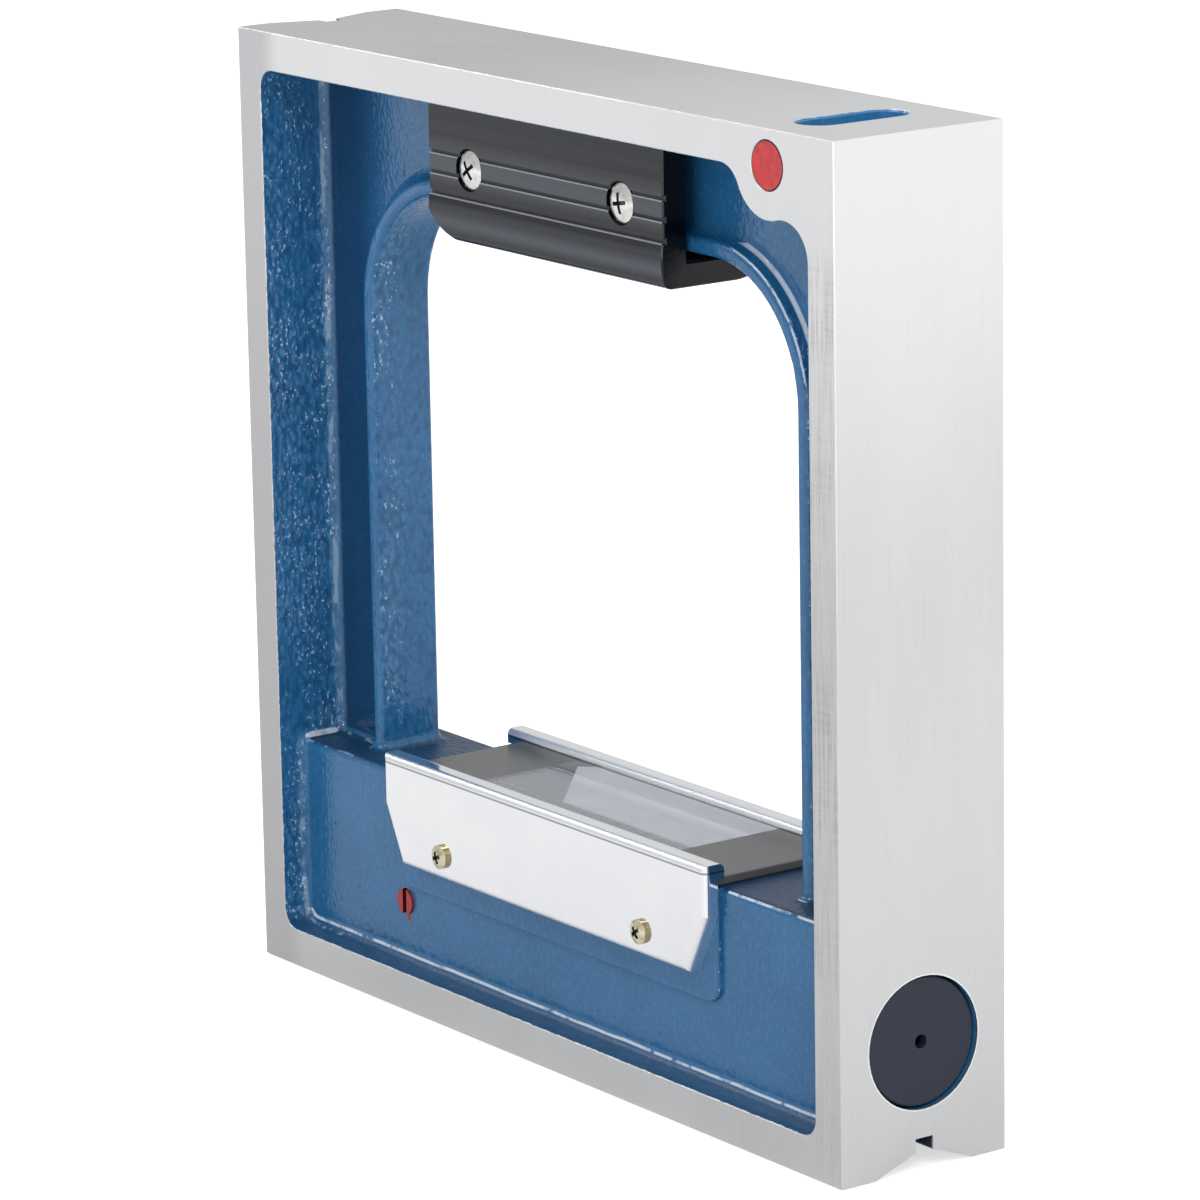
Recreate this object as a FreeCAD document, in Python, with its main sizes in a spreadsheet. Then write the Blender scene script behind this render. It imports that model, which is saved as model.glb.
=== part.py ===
import FreeCAD, Part
import math
import os
import re
import Sketcher

# Precision machinist level with a square frame, in millimetres.
# X runs along the base, Y from the front face to the rear one, Z up.
# The origin is the centre of the base, on the surface that the level stands on.

SIZES = (
    # The cast frame: outer walls, a thin web between them, a recess on each side of the web.
    ("frame_side", 200.0, "outer width and height"),
    ("frame_depth", 40.0, "front face to rear face"),
    ("frame_wall", 8.0, "outer wall round the recess"),
    ("web_thickness", 8.0, "web round the window"),
    ("recess_corner", 4.0, "corner radius of the recess"),
    ("recess_foot", 3.0, "fillet between web and walls"),
    ("ground_edge", 0.2, "chamfer round the ground faces"),
    # The measuring vees in the base and in the left face.
    ("vee_width", 23.7, "mouth of the vee"),
    ("vee_angle", 140.0, "angle between the vee faces"),
    ("relief_width", 4.2, "relief slot at the root of the vee"),
    ("relief_depth", 6.35, "relief slot below the ground face"),
    # The round corner boss that holds the cross vial.
    ("boss_inset", 19.9, "boss centre from the right face"),
    ("boss_drop", 7.3, "boss centre below the top face"),
    ("boss_radius", 10.0, "boss outline"),
    ("boss_corner", 7.3, "hollow between the boss and the right wall"),
    ("boss_blend", 6.1, "hollow between the boss and the top wall"),
    # The window and the raised rim round it.
    ("window_inset", 28.3, "window from the left and right faces"),
    ("window_drop", 30.3, "window below the top face"),
    ("window_corner", 26.0, "upper corner radius"),
    ("rim_width", 3.5, "rim beside the window"),
    ("rim_thickness", 14.8, "rim front to rear"),
    ("rim_edge", 1.2, "rounding of the rim"),
    ("rim_foot", 2.5, "fillet between rim and web"),
    # The vial block between the side walls, and the raised seat of the covers on it.
    ("block_setback", 6.0, "front and rear of the block behind the ground faces"),
    ("block_top", 48.2, "top above the base"),
    ("block_edge", 1.5, "rounding of the top edges"),
    ("block_foot", 2.5, "fillet between block and walls"),
    ("seat_length", 110.6, "seat along the block"),
    ("seat_rise", 1.0, "seat in front of the block"),
    ("seat_skirt", 6.1, "seat below the covers"),
    ("seat_corner", 4.0, "lower corner radius"),
    ("seat_edge", 0.5, "rounding of the seat"),
    # The long bore for the vial carrier, its cap seat and the trough under the glass.
    ("bore_height", 25.2, "bore axis above the base"),
    ("bore_radius", 10.0, "long bore"),
    ("bore_end", 38.0, "blind end from the left face"),
    ("cap_bore_radius", 13.2, "wide mouth of the bore"),
    ("cap_bore_depth", 10.0, "depth of the wide mouth"),
    ("trough_length", 92.0, "opening over the main vial"),
    ("trough_width", 18.4, "opening front to rear"),
    # The glass plate over the main vial and the seal below it.
    ("gasket_thickness", 0.4, "seal under the glass"),
    ("gasket_margin", 1.0, "seal kept back from the trough"),
    ("glass_inset", 1.0, "plate kept back from the ends of the seat"),
    ("glass_margin", 0.1, "plate kept back from the faces of the seat"),
    ("glass_thickness", 1.5, "plate"),
    ("glass_edge", 0.2, "ground edge of the plate"),
    # The folded sheet covers.
    ("cover_sheet", 0.8, "sheet thickness"),
    ("cover_overhang", 0.2, "cover past the ends of the seat"),
    ("cover_bottom", 30.5, "bottom edge above the base"),
    ("cover_slant_run", 6.0, "slanted corners along the block"),
    ("cover_slant_rise", 12.3, "slanted corners above the bottom edge"),
    ("cover_rise", 3.1, "top flange above the glass"),
    ("cover_standoff", 3.3, "outer face in front of the seat"),
    ("cover_flange", 4.9, "top flange, outer face to inner lip"),
    ("cover_bend", 1.4, "outer radius of the bends"),
    ("cover_screw_spacing", 69.0, "between the two screws of a cover"),
    ("cover_screw_rise", 5.0, "screws above the bottom edge"),
    ("cover_screw_radius", 1.5, "shank"),
    ("cover_head_radius", 2.5, "pan head"),
    ("cover_head_height", 1.6, "pan head"),
    ("cover_screw_wall", 1.2, "end of the shank in front of the trough"),
    ("cross_recess_width", 0.8, "arm of the driving cross"),
    ("cross_recess_length", 2.6, "driving cross of the small screws"),
    ("cross_recess_depth", 0.8, "driving cross"),
    # The hand grip over the top bar.
    ("grip_length", 79.0, "along the top bar"),
    ("grip_thickness", 28.0, "front to rear"),
    ("grip_gap", 1.0, "grip below the top wall"),
    ("grip_height", 27.8, "lower face to upper face"),
    ("grip_floor", 4.8, "thickness below the top bar"),
    ("grip_edge", 0.5, "rounding of the upper edges"),
    ("grip_end_edge", 0.3, "chamfer round both ends"),
    ("belly_crest", 14.5, "widest point of the belly from the middle plane"),
    ("belly_height", 6.1, "widest point above the lower face"),
    ("belly_radius", 16.0, "curve of the belly"),
    ("belly_corner", 2.1, "rounding into the lower face"),
    ("groove_width", 0.8, "finger groove"),
    ("groove_depth", 0.5, "finger groove"),
    ("groove_first", 9.5, "lowest groove above the lower face"),
    ("groove_pitch", 4.15, "between the grooves"),
    ("end_round", 12.0, "plan radius of the rounded lower corners"),
    ("end_round_offset", 1.2, "centre of that rounding from the middle plane"),
    ("end_round_rise", 7.3, "height of the rounded corner"),
    ("end_round_spread", 6.2, "outward run of the rounded corner"),
    ("end_round_curve", 13.0, "radius of the rounded corner in elevation"),
    ("grip_screw_spacing", 51.0, "between the two screws of a side"),
    ("grip_screw_rise", 15.2, "screws above the lower face"),
    ("grip_screw_radius", 2.0, "shank"),
    ("grip_screw_reach", 1.4, "end of the shank from the middle plane"),
    ("grip_head_radius", 3.9, "raised head"),
    ("grip_head_height", 1.8, "raised head"),
    ("grip_head_seat", 12.6, "floor of the head's recess from the middle plane"),
    ("grip_recess_radius", 4.35, "recess for the head"),
    ("grip_boss_radius", 5.0, "boss on the web behind each screw"),
    ("grip_boss_reach", 8.4, "boss face from the middle plane"),
    ("head_cross_length", 4.2, "driving cross of the grip screws"),
    ("head_cross_depth", 1.2, "driving cross of the grip screws"),
    # The cap of the long bore.
    ("cap_gap", 0.4, "between cap and bore"),
    ("cap_recess", 0.9, "cap behind the right face"),
    ("cap_face", 2.0, "thickness of the cap's face"),
    ("cap_skirt", 1.6, "wall of the cap's skirt"),
    ("cap_edge", 0.3, "chamfer of the cap"),
    ("cap_hole_radius", 1.4, "pin hole to the adjuster"),
    # The pivot screws, which end in pins.
    ("pivot_inset", 45.8, "pivot axis from the left face"),
    ("pivot_drop", 4.4, "pivot axis below the axis of the bore"),
    ("pivot_screw_radius", 2.7, "thread"),
    ("pivot_screw_rise", 0.6, "screw proud of the block"),
    ("pivot_screw_inset", 0.6, "end of the thread inside the bore"),
    ("pivot_pin_radius", 1.5, "pin"),
    ("pivot_pin_length", 4.6, "pin"),
    ("slot_width", 1.3, "screwdriver slot"),
    ("slot_depth", 1.0, "screwdriver slot"),
    # The vial carrier in the long bore.
    ("bar_clearance", 1.0, "round the bar in the bore"),
    ("bar_overhang", 6.3, "bar past the pivot"),
    ("bar_end_gap", 4.0, "bar to the bush"),
    ("bar_flat_length", 96.0, "milled flat under the vial"),
    ("bar_flat_rise", 3.8, "milled flat above the axis of the bore"),
    ("fork_length", 8.0, "slot for the adjuster's pin"),
    ("running_gap", 0.05, "radial clearance of shafts, pins and threads"),
    ("fork_gap", 0.1, "clearance of the adjuster's pin in its slot"),
    ("holder_spacing", 72.0, "between the middles of the two vial holders"),
    ("holder_thickness", 6.0, "along the vial"),
    ("holder_wall", 1.6, "ring round the vial"),
    ("holder_foot", 15.0, "foot on the bar, front to rear"),
    # The main vial.
    ("vial_rise", 12.3, "vial axis above the axis of the bore"),
    ("vial_radius", 7.0, "outside of the tube"),
    ("vial_bore_radius", 5.3, "inside of the tube"),
    ("vial_end_gap", 4.0, "ends of the tube kept back from the trough's"),
    ("vial_plug", 3.0, "plug in each end"),
    ("air_level", 3.4, "surface of the liquid above the vial axis"),
    ("bubble_length", 30.0, "bubble"),
    ("bubble_travel", 12.0, "bubble each way from the middle"),
    ("bubble_gap", 0.3, "bubble to the glass"),
    ("liquid_gap", 0.1, "bubble to the liquid"),
    # The zero adjuster: a spindle in a bush, with an offset pin in the bar's end.
    ("bush_inset", 20.0, "outer end of the bush from the right face"),
    ("bush_length", 10.0, "bush"),
    ("journal_radius", 4.0, "spindle in the bush"),
    ("spindle_head_radius", 6.5, "slotted head"),
    ("spindle_head_length", 4.5, "slotted head"),
    ("spindle_tail", 2.4, "spindle past the bush"),
    ("adjuster_pin_radius", 2.0, "offset pin"),
    ("adjuster_pin_length", 8.2, "offset pin"),
    ("adjuster_throw", 1.0, "offset of the pin"),
    ("washer_thickness", 0.8, "spring washer under the head"),
    ("washer_radius", 6.2, "spring washer"),
    ("clip_thickness", 0.8, "retaining clip"),
    ("clip_radius", 5.8, "retaining clip"),
    ("clip_groove_radius", 3.2, "groove for the clip"),
    ("clip_opening", 4.0, "gap of the clip"),
    ("head_slot_width", 1.2, "slot of the adjuster"),
    ("head_slot_depth", 1.6, "slot of the adjuster"),
    # The cross vial in the corner boss, seen through a slot in the top face.
    ("cross_drop", 6.9, "cross vial axis below the top face"),
    ("cross_bore_radius", 4.75, "bore through the boss"),
    ("cross_slot_length", 24.0, "slot in the top face"),
    ("cross_slot_width", 9.2, "slot in the top face"),
    ("cross_slot_edge", 0.5, "chamfer of the slot"),
    ("cross_radius", 4.3, "outside of the tube"),
    ("cross_tube_bore", 3.1, "inside of the tube"),
    ("cross_length", 30.0, "tube"),
    ("cross_plug", 2.0, "plug in each end"),
    ("cross_air_level", 1.6, "surface of the liquid above the tube's axis"),
    ("cross_bubble_length", 9.0, "bubble"),
    ("cross_bubble_travel", 4.5, "bubble each way from the middle"),
)

doc = FreeCAD.newDocument("machinist_level")
sheet = doc.addObject("Spreadsheet::Sheet", "sizes")
for row, (alias, size, meaning) in enumerate(SIZES, start=1):
    sheet.set(f"A{row}", alias)
    sheet.set(f"B{row}", str(size))
    sheet.set(f"C{row}", meaning)
    sheet.setAlias(f"B{row}", alias)
doc.recompute()
ALIASES = {alias for alias, size, meaning in SIZES}

NEAR = 0.01
X_AXIS = FreeCAD.Vector(1, 0, 0)
Y_AXIS = FreeCAD.Vector(0, 1, 0)
Z_AXIS = FreeCAD.Vector(0, 0, 1)
QUARTER = 90
FULL = 360


def cells(expression):
    """Write each alias in an expression as its cell of the sheet."""
    named = lambda word: f"sizes.{word[0]}" if word[0] in ALIASES else word[0]
    return re.sub(r"[a-z]\w*", named, expression)


def number(expression):
    """The present value of an expression."""
    return float(sheet.evalExpression(cells(expression)))


def bind(thing, prop, expression):
    thing.setExpression(prop, cells(expression))


def new_body(label):
    return doc.addObject("PartDesign::Body", label)


def own_plane(body, role):
    return next(feature for feature in body.Origin.OriginFeatures if feature.Role == role)


def sketch_on(body, role, x="0", y="0", lift="0"):
    """A sketch on one of the body's origin planes, its own origin moved by x and y and lifted off it."""
    sketch = body.newObject("Sketcher::SketchObject", f"{body.Label}_sketch")
    sketch.AttachmentSupport = [(own_plane(body, role), "")]
    sketch.MapMode = "FlatFace"
    for coordinate, expression in (("x", x), ("y", y), ("z", lift)):
        bind(sketch, f"AttachmentOffset.Base.{coordinate}", expression)
    return sketch


def hold(sketch, kind, place, expression):
    """Fix one measure of a point, or a radius, to an expression."""
    index = sketch.addConstraint(Sketcher.Constraint(kind, *place, number(expression)))
    bind(sketch, f"Constraints[{index}]", expression)


def arc_between(start, end, radius, turn):
    """The shorter arc from start to end, to the left of the way for turn 1 and to the right for -1."""
    chord = end - start
    rise = math.sqrt(max(radius ** 2 - (chord.Length / 2) ** 2, 0))
    side = FreeCAD.Vector(-chord.y, chord.x, 0).normalize()
    centre = (start + end) / 2 + side * rise * turn
    first, last = (start, end) if turn > 0 else (end, start)
    angles = [math.atan2(point.y - centre.y, point.x - centre.x) for point in (first, last)]
    if angles[1] < angles[0]:
        angles[1] += 2 * math.pi
    return Part.ArcOfCircle(Part.Circle(centre, Z_AXIS, radius), *angles)


def outline(sketch, *steps):
    """A closed outline. A step (x, y) is a line to that point, (x, y, radius, turn) an arc to it."""
    points = [FreeCAD.Vector(number(step[0]), number(step[1]), 0) for step in steps]
    tails, heads = [], []
    for place, step in enumerate(steps):
        start, end = points[place - 1], points[place]
        if len(step) == 2:
            edge = sketch.addGeometry(Part.LineSegment(start, end))
            turn = 1
        else:
            turn = step[3]
            edge = sketch.addGeometry(arc_between(start, end, number(step[2]), turn))
        tails.append((edge, 1 if turn > 0 else 2))
        heads.append((edge, 2 if turn > 0 else 1))
    for place, step in enumerate(steps):
        sketch.addConstraint(Sketcher.Constraint("Coincident", *heads[place - 1], *tails[place]))
        hold(sketch, "DistanceX", (-1, 1, *heads[place]), step[0])
        hold(sketch, "DistanceY", (-1, 1, *heads[place]), step[1])
        if len(step) > 2:
            hold(sketch, "Radius", (heads[place][0],), step[2])
    return sketch


def circle(sketch, x, y, radius):
    centre = FreeCAD.Vector(number(x), number(y), 0)
    edge = sketch.addGeometry(Part.Circle(centre, Z_AXIS, number(radius)))
    hold(sketch, "DistanceX", (-1, 1, edge, 3), x)
    hold(sketch, "DistanceY", (-1, 1, edge, 3), y)
    hold(sketch, "Radius", (edge,), radius)
    return sketch


def rectangle(sketch, left, right, bottom, top):
    return outline(sketch, (left, bottom), (right, bottom), (right, top), (left, top))


def extrude(body, sketch, length=None, adds=True, symmetric=False, reverse=False):
    """A pad or a pocket of the sketch; without a length the pocket goes through everything."""
    before = body.Shape.Volume if body.Tip and body.Tip.isDerivedFrom("PartDesign::Feature") else 0
    feature = body.newObject("PartDesign::Pad" if adds else "PartDesign::Pocket", f"{body.Label}_feature")
    feature.Profile = sketch
    feature.SideType = "Symmetric" if symmetric else "One side"
    feature.Reversed = reverse
    if length:
        bind(feature, "Length", length)
    else:
        feature.Type = "ThroughAll"
    return settle(body, feature, before, adds)


def turn(body, sketch, axis, adds=True, angle=FULL, reverse=False):
    """A revolution or a groove of the sketch about one of the sketch's own axes."""
    before = body.Shape.Volume if body.Tip and body.Tip.isDerivedFrom("PartDesign::Feature") else 0
    kind = "PartDesign::Revolution" if adds else "PartDesign::Groove"
    feature = body.newObject(kind, f"{body.Label}_feature")
    feature.Profile = sketch
    feature.ReferenceAxis = (sketch, [axis])
    feature.Angle = angle
    feature.Reversed = reverse
    return settle(body, feature, before, adds)


def settle(body, feature, before, adds):
    """Recompute the body up to the feature, and see that it added or took away material."""
    body.Tip = feature
    doc.recompute()
    if feature.Shape.isNull() or (feature.Shape.Volume > before) != adds:
        raise ValueError(f"a feature of {body.Label} leaves its volume as it was")
    return feature


def mirror(body, features, role, adds=True):
    """The same features on the other side of one of the body's origin planes."""
    before = body.Shape.Volume
    feature = body.newObject("PartDesign::Mirrored", f"{body.Label}_feature")
    feature.Originals = features
    feature.MirrorPlane = (own_plane(body, role), [""])
    return settle(body, feature, before, adds)


def turned_copy(body, features, role, adds=True):
    """The same features half a turn about one of the body's origin axes."""
    before = body.Shape.Volume
    feature = body.newObject("PartDesign::PolarPattern", f"{body.Label}_feature")
    feature.Originals = features
    feature.Axis = (own_plane(body, role), [""])
    feature.Angle = FULL
    feature.Occurrences = 2
    return settle(body, feature, before, adds)


def dress(body, kind, size, chosen):
    """A fillet or a chamfer on every edge of the body that the test chooses."""
    base = body.Tip
    edges = enumerate(base.Shape.Edges, start=1)
    names = [f"Edge{index}" for index, edge in edges if chosen(edge.BoundBox)]
    if not names:
        raise ValueError(f"no edge of {body.Label} to dress")
    feature = body.newObject(f"PartDesign::{kind}", f"{body.Label}_feature")
    feature.Base = (base, names)
    bind(feature, "Size" if kind == "Chamfer" else "Radius", size)
    body.Tip = feature
    doc.recompute()
    if "Invalid" in feature.State or not feature.Shape.isValid():
        raise ValueError(f"{kind} {size} of {body.Label} fails on {names}")
    return feature


def at(low, high, value):
    """Whether an edge's box is flat, at the value or at its mirror image."""
    return high - low < NEAR and abs(abs(low) - value) < NEAR


def place(piece, x="0", y="0", z="0", axis=Z_AXIS, angle=0):
    """Turn a piece about an axis and move its own origin to a point."""
    piece.Placement = FreeCAD.Placement(FreeCAD.Vector(), FreeCAD.Rotation(axis, angle))
    for coordinate, expression in (("x", x), ("y", y), ("z", z)):
        bind(piece, f"Placement.Base.{coordinate}", expression)
    return piece


def reflected(label, source, normal):
    """The mirror image of a piece through the middle of the level."""
    copy = doc.addObject("Part::Mirroring", label)
    copy.Source = source
    copy.Normal = normal
    doc.recompute()
    return copy


def group(label, pieces):
    """Several separate solids as one sub-part."""
    together = doc.addObject("Part::Compound", label)
    together.Links = pieces
    doc.recompute()
    return together


half_side = "frame_side / 2"
half_depth = "frame_depth / 2"
half_web = "web_thickness / 2"
half_block = "(frame_depth / 2 - block_setback)"
half_seat = f"({half_block} + seat_rise)"
wall_x = "(frame_side / 2 - frame_wall)"
wall_top = "(frame_side - frame_wall)"
boss_x = "(frame_side / 2 - boss_inset)"
boss_z = "(frame_side - boss_drop)"
cross_z = "(frame_side - cross_drop)"
grip_top = f"({wall_top} - grip_gap)"
grip_bottom = f"({wall_top} - grip_gap - grip_height)"
grip_screw_z = f"({wall_top} - grip_gap - grip_height + grip_screw_rise)"
cover_screw_z = "(cover_bottom + cover_screw_rise)"
pivot_z = "(bore_height - pivot_drop)"
vial_z = "(bore_height + vial_rise)"
bush_right = f"({half_side} - bush_inset)"
pivot_x = f"({half_side} - pivot_inset)"
vial_length = "(trough_length - 2 * vial_end_gap)"
cover_screw_depth = f"({half_seat} - trough_width / 2 - cover_screw_wall)"

# The frame casting starts as a square block.
frame = new_body("frame_casting")
extrude(frame, rectangle(sketch_on(frame, "XZ_Plane"), f"-{half_side}", half_side, "0", "frame_side"),
        "frame_depth", symmetric=True)

# Each vee has two ground faces and a relief slot at its root. One runs along the base,
# the other up the left face.
vee_half = "vee_width / 2"
slot_half = "relief_width / 2"
vee_root = "((vee_width - relief_width) / 2 / tan(vee_angle / 2))"
outline_of_base_vee = (
    (f"-{vee_half}", "0"), (vee_half, "0"), (slot_half, vee_root), (slot_half, "relief_depth"),
    (f"-{slot_half}", "relief_depth"), (f"-{slot_half}", vee_root))
extrude(frame, outline(sketch_on(frame, "YZ_Plane"), *outline_of_base_vee), adds=False, symmetric=True)
outline_of_side_vee = [(depth, f"-({across})") for across, depth in outline_of_base_vee]
extrude(frame, outline(sketch_on(frame, "XY_Plane", x=f"-{half_side}"), *outline_of_side_vee),
        adds=False, symmetric=True)

# The recess is square but for its upper right corner, where the walls flow round the boss of
# the cross vial: a hollow beside the right wall, the boss, and a hollow below the top wall.
corner_x = f"({wall_x} - boss_corner)"
corner_z = f"({boss_z} - sqrt((boss_radius + boss_corner)^2 - ({boss_x} - {corner_x})^2))"
blend_z = f"({wall_top} - boss_blend)"
blend_x = f"({boss_x} - sqrt((boss_radius + boss_blend)^2 - ({boss_z} - {blend_z})^2))"
corner_share = "boss_corner / (boss_radius + boss_corner)"
blend_share = "boss_blend / (boss_radius + boss_blend)"
recess_sketch = outline(
    sketch_on(frame, "XZ_Plane", lift=half_depth),
    (f"-{wall_x} + recess_corner", "frame_wall", "recess_corner", 1),
    (f"{wall_x} - recess_corner", "frame_wall"),
    (wall_x, "frame_wall + recess_corner", "recess_corner", 1),
    (wall_x, corner_z),
    (f"{corner_x} + ({boss_x} - {corner_x}) * {corner_share}",
     f"{corner_z} + ({boss_z} - {corner_z}) * {corner_share}", "boss_corner", 1),
    (f"{blend_x} + ({boss_x} - {blend_x}) * {blend_share}",
     f"{blend_z} + ({boss_z} - {blend_z}) * {blend_share}", "boss_radius", -1),
    (blend_x, wall_top, "boss_blend", 1),
    (f"-{wall_x} + recess_corner", wall_top),
    (f"-{wall_x}", f"{wall_top} - recess_corner", "recess_corner", 1),
    (f"-{wall_x}", "frame_wall + recess_corner"))
recess = extrude(frame, recess_sketch, f"{half_depth} - {half_web}", adds=False)
mirror(frame, [recess], "XZ_Plane", adds=False)
web_face = number(half_web)
dress(frame, "Fillet", "recess_foot", lambda box: at(box.YMin, box.YMax, web_face))


def arch(sketch, half_width, bottom, top, corner):
    """An upright outline with two round upper corners."""
    return outline(
        sketch, (f"-({half_width})", bottom), (half_width, bottom), (half_width, f"{top} - ({corner})"),
        (f"{half_width} - ({corner})", top, corner, 1), (f"-({half_width}) + ({corner})", top),
        (f"-({half_width})", f"{top} - ({corner})", corner, 1))


# The raised rim stands on the web round the window. Both start inside the later vial block.
window_half = f"({half_side} - window_inset)"
window_top = "(frame_side - window_drop)"
rim_half = f"{window_half} + rim_width"
extrude(frame, arch(sketch_on(frame, "XZ_Plane"), rim_half, "bore_height - rim_width",
                    f"{window_top} + rim_width", "window_corner + rim_width"),
        "rim_thickness", symmetric=True)
rim_side = number(rim_half)
dress(frame, "Fillet", "rim_foot",
      lambda box: at(box.YMin, box.YMax, web_face) and max(-box.XMin, box.XMax) < rim_side + NEAR)
extrude(frame, arch(sketch_on(frame, "XZ_Plane"), window_half, "bore_height", window_top,
                    "window_corner"), adds=False, symmetric=True)
rim_face = number("rim_thickness / 2")
dress(frame, "Fillet", "rim_edge", lambda box: at(box.YMin, box.YMax, rim_face))

# The vial block joins the side walls. Its upper edges are rounded, and one fillet runs up the
# walls, over the top of the block and round the foot of the web.
extrude(frame, rectangle(sketch_on(frame, "XZ_Plane"), f"-({half_side} + {wall_x}) / 2",
                         f"({half_side} + {wall_x}) / 2", "frame_wall / 2", "block_top"),
        f"2 * {half_block}", symmetric=True)
block_face = number(half_block)
block_level = number("block_top")
dress(frame, "Fillet", "block_edge",
      lambda box: at(box.YMin, box.YMax, block_face) and at(box.ZMin, box.ZMax, block_level))
dress(frame, "Fillet", "block_foot",
      lambda box: at(box.YMin, box.YMax, block_face) and box.ZMin < block_level - NEAR)

# The seat of the covers stands a little out of the block.
seat_half = "seat_length / 2"
seat_bottom = "(cover_bottom - seat_skirt)"
extrude(frame, outline(
    sketch_on(frame, "XZ_Plane"), (f"-{seat_half} + seat_corner", seat_bottom, "seat_corner", 1),
    (f"{seat_half} - seat_corner", seat_bottom),
    (seat_half, f"{seat_bottom} + seat_corner", "seat_corner", 1),
    (seat_half, "block_top"), (f"-{seat_half}", "block_top"),
    (f"-{seat_half}", f"{seat_bottom} + seat_corner")), f"2 * {half_seat}", symmetric=True)
seat_face = number(half_seat)
dress(frame, "Fillet", "seat_edge",
      lambda box: at(box.YMin, box.YMax, seat_face) and box.ZMin < block_level - NEAR)

# Four round bosses on the web carry the grip.
grip_x = "grip_screw_spacing / 2"
bosses = sketch_on(frame, "XZ_Plane")
circle(bosses, grip_x, grip_screw_z, "grip_boss_radius")
circle(bosses, f"-{grip_x}", grip_screw_z, "grip_boss_radius")
extrude(frame, bosses, "2 * grip_boss_reach", symmetric=True)
holes = sketch_on(frame, "XZ_Plane")
circle(holes, grip_x, grip_screw_z, "grip_screw_radius + running_gap")
circle(holes, f"-{grip_x}", grip_screw_z, "grip_screw_radius + running_gap")
extrude(frame, holes, adds=False, symmetric=True)

# The long bore comes in from the right face and ends short of the left wall. Its wide mouth
# takes the cap, and the trough opens it to the top of the block.
extrude(frame, circle(sketch_on(frame, "YZ_Plane", lift=half_side), "0", "bore_height", "bore_radius"),
        "frame_side - bore_end", adds=False)
extrude(frame, circle(sketch_on(frame, "YZ_Plane", lift=half_side), "0", "bore_height", "cap_bore_radius"),
        "cap_bore_depth", adds=False)
extrude(frame, rectangle(sketch_on(frame, "XY_Plane", lift="block_top"), "-trough_length / 2",
                         "trough_length / 2", "-trough_width / 2", "trough_width / 2"),
        "block_top - bore_height", adds=False)

# Screw holes: two for the pivot screws, four for the screws of the covers.
extrude(frame, circle(sketch_on(frame, "XZ_Plane"), f"-{pivot_x}", pivot_z,
                      "pivot_screw_radius + running_gap"), f"2 * {half_seat}", adds=False, symmetric=True)
cover_holes = sketch_on(frame, "XZ_Plane", lift=half_seat)
for side in ("", "-"):
    circle(cover_holes, f"{side}cover_screw_spacing / 2", cover_screw_z,
           "cover_screw_radius + running_gap")
cover_hole = extrude(frame, cover_holes, f"{cover_screw_depth} + cover_screw_radius / 2", adds=False)
mirror(frame, [cover_hole], "XZ_Plane", adds=False)

# The cross vial lies in a bore through the boss, under an oval slot in the top face.
extrude(frame, circle(sketch_on(frame, "XZ_Plane"), boss_x, cross_z, "cross_bore_radius"),
        adds=False, symmetric=True)
oval_half = "cross_slot_width / 2"
oval_end = "(cross_slot_length / 2 - cross_slot_width / 2)"
extrude(frame, outline(
    sketch_on(frame, "XY_Plane", x=boss_x, lift="frame_side"),
    (oval_half, f"-{oval_end}", oval_half, 1), (oval_half, oval_end),
    ("0", "cross_slot_length / 2", oval_half, 1), (f"-{oval_half}", oval_end, oval_half, 1),
    (f"-{oval_half}", f"-{oval_end}"), ("0", "-cross_slot_length / 2", oval_half, 1)),
    "cross_drop", adds=False)

# Broken edges round the front, rear and top openings.
front_face = number(half_depth)
dress(frame, "Chamfer", "ground_edge", lambda box: at(box.YMin, box.YMax, front_face))
top_face = number("frame_side")
slot_left = number(f"{boss_x} - {oval_half}") - NEAR
slot_right = number(f"{boss_x} + {oval_half}") + NEAR
dress(frame, "Chamfer", "cross_slot_edge",
      lambda box: at(box.ZMin, box.ZMax, top_face) and slot_left < box.XMin and box.XMax < slot_right)

# The seal and the glass plate lie on the block.
gasket = new_body("window_gasket")
glass_x = f"({seat_half} - glass_inset)"
glass_y = f"({half_seat} - glass_margin)"
seal = rectangle(sketch_on(gasket, "XY_Plane"), f"-{glass_x}", glass_x, f"-{glass_y}", glass_y)
rectangle(seal, "-trough_length / 2 - gasket_margin", "trough_length / 2 + gasket_margin",
          "-trough_width / 2 - gasket_margin", "trough_width / 2 + gasket_margin")
extrude(gasket, seal, "gasket_thickness")
place(gasket, z="block_top")

glass_top = "(block_top + gasket_thickness + glass_thickness)"
glass = new_body("window_glass")
extrude(glass, rectangle(sketch_on(glass, "XY_Plane"), f"-{glass_x}", glass_x, f"-{glass_y}", glass_y),
        "glass_thickness")
glass_face = number("glass_thickness")
dress(glass, "Chamfer", "glass_edge", lambda box: at(box.ZMin, box.ZMax, glass_face))
place(glass, z="block_top + gasket_thickness")

# A cover is a folded sheet: a flat face, flanges back to the seat at its ends, its slanted
# corners and its bottom, and over the top a flange with a lip that ends on the glass.
cover_half = f"({seat_half} + cover_overhang)"
foot_half = f"({seat_half} + cover_overhang - cover_slant_run)"
cover_face = f"({half_seat} + cover_standoff)"
cover_lip = f"({half_seat} + cover_standoff - cover_flange)"
cover_top = f"({glass_top} + cover_rise)"
cover_shoulder = "(cover_bottom + cover_slant_rise)"
slant_length = "sqrt(cover_slant_rise^2 + cover_slant_run^2)"
# Inside the sheet the slanted edge is shifted by one sheet thickness along its normal.
shoulder_shift = f"(cover_sheet * ({slant_length} - cover_slant_rise) / cover_slant_run)"
foot_shift = f"(cover_sheet * ({slant_length} - cover_slant_run) / cover_slant_rise)"

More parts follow.
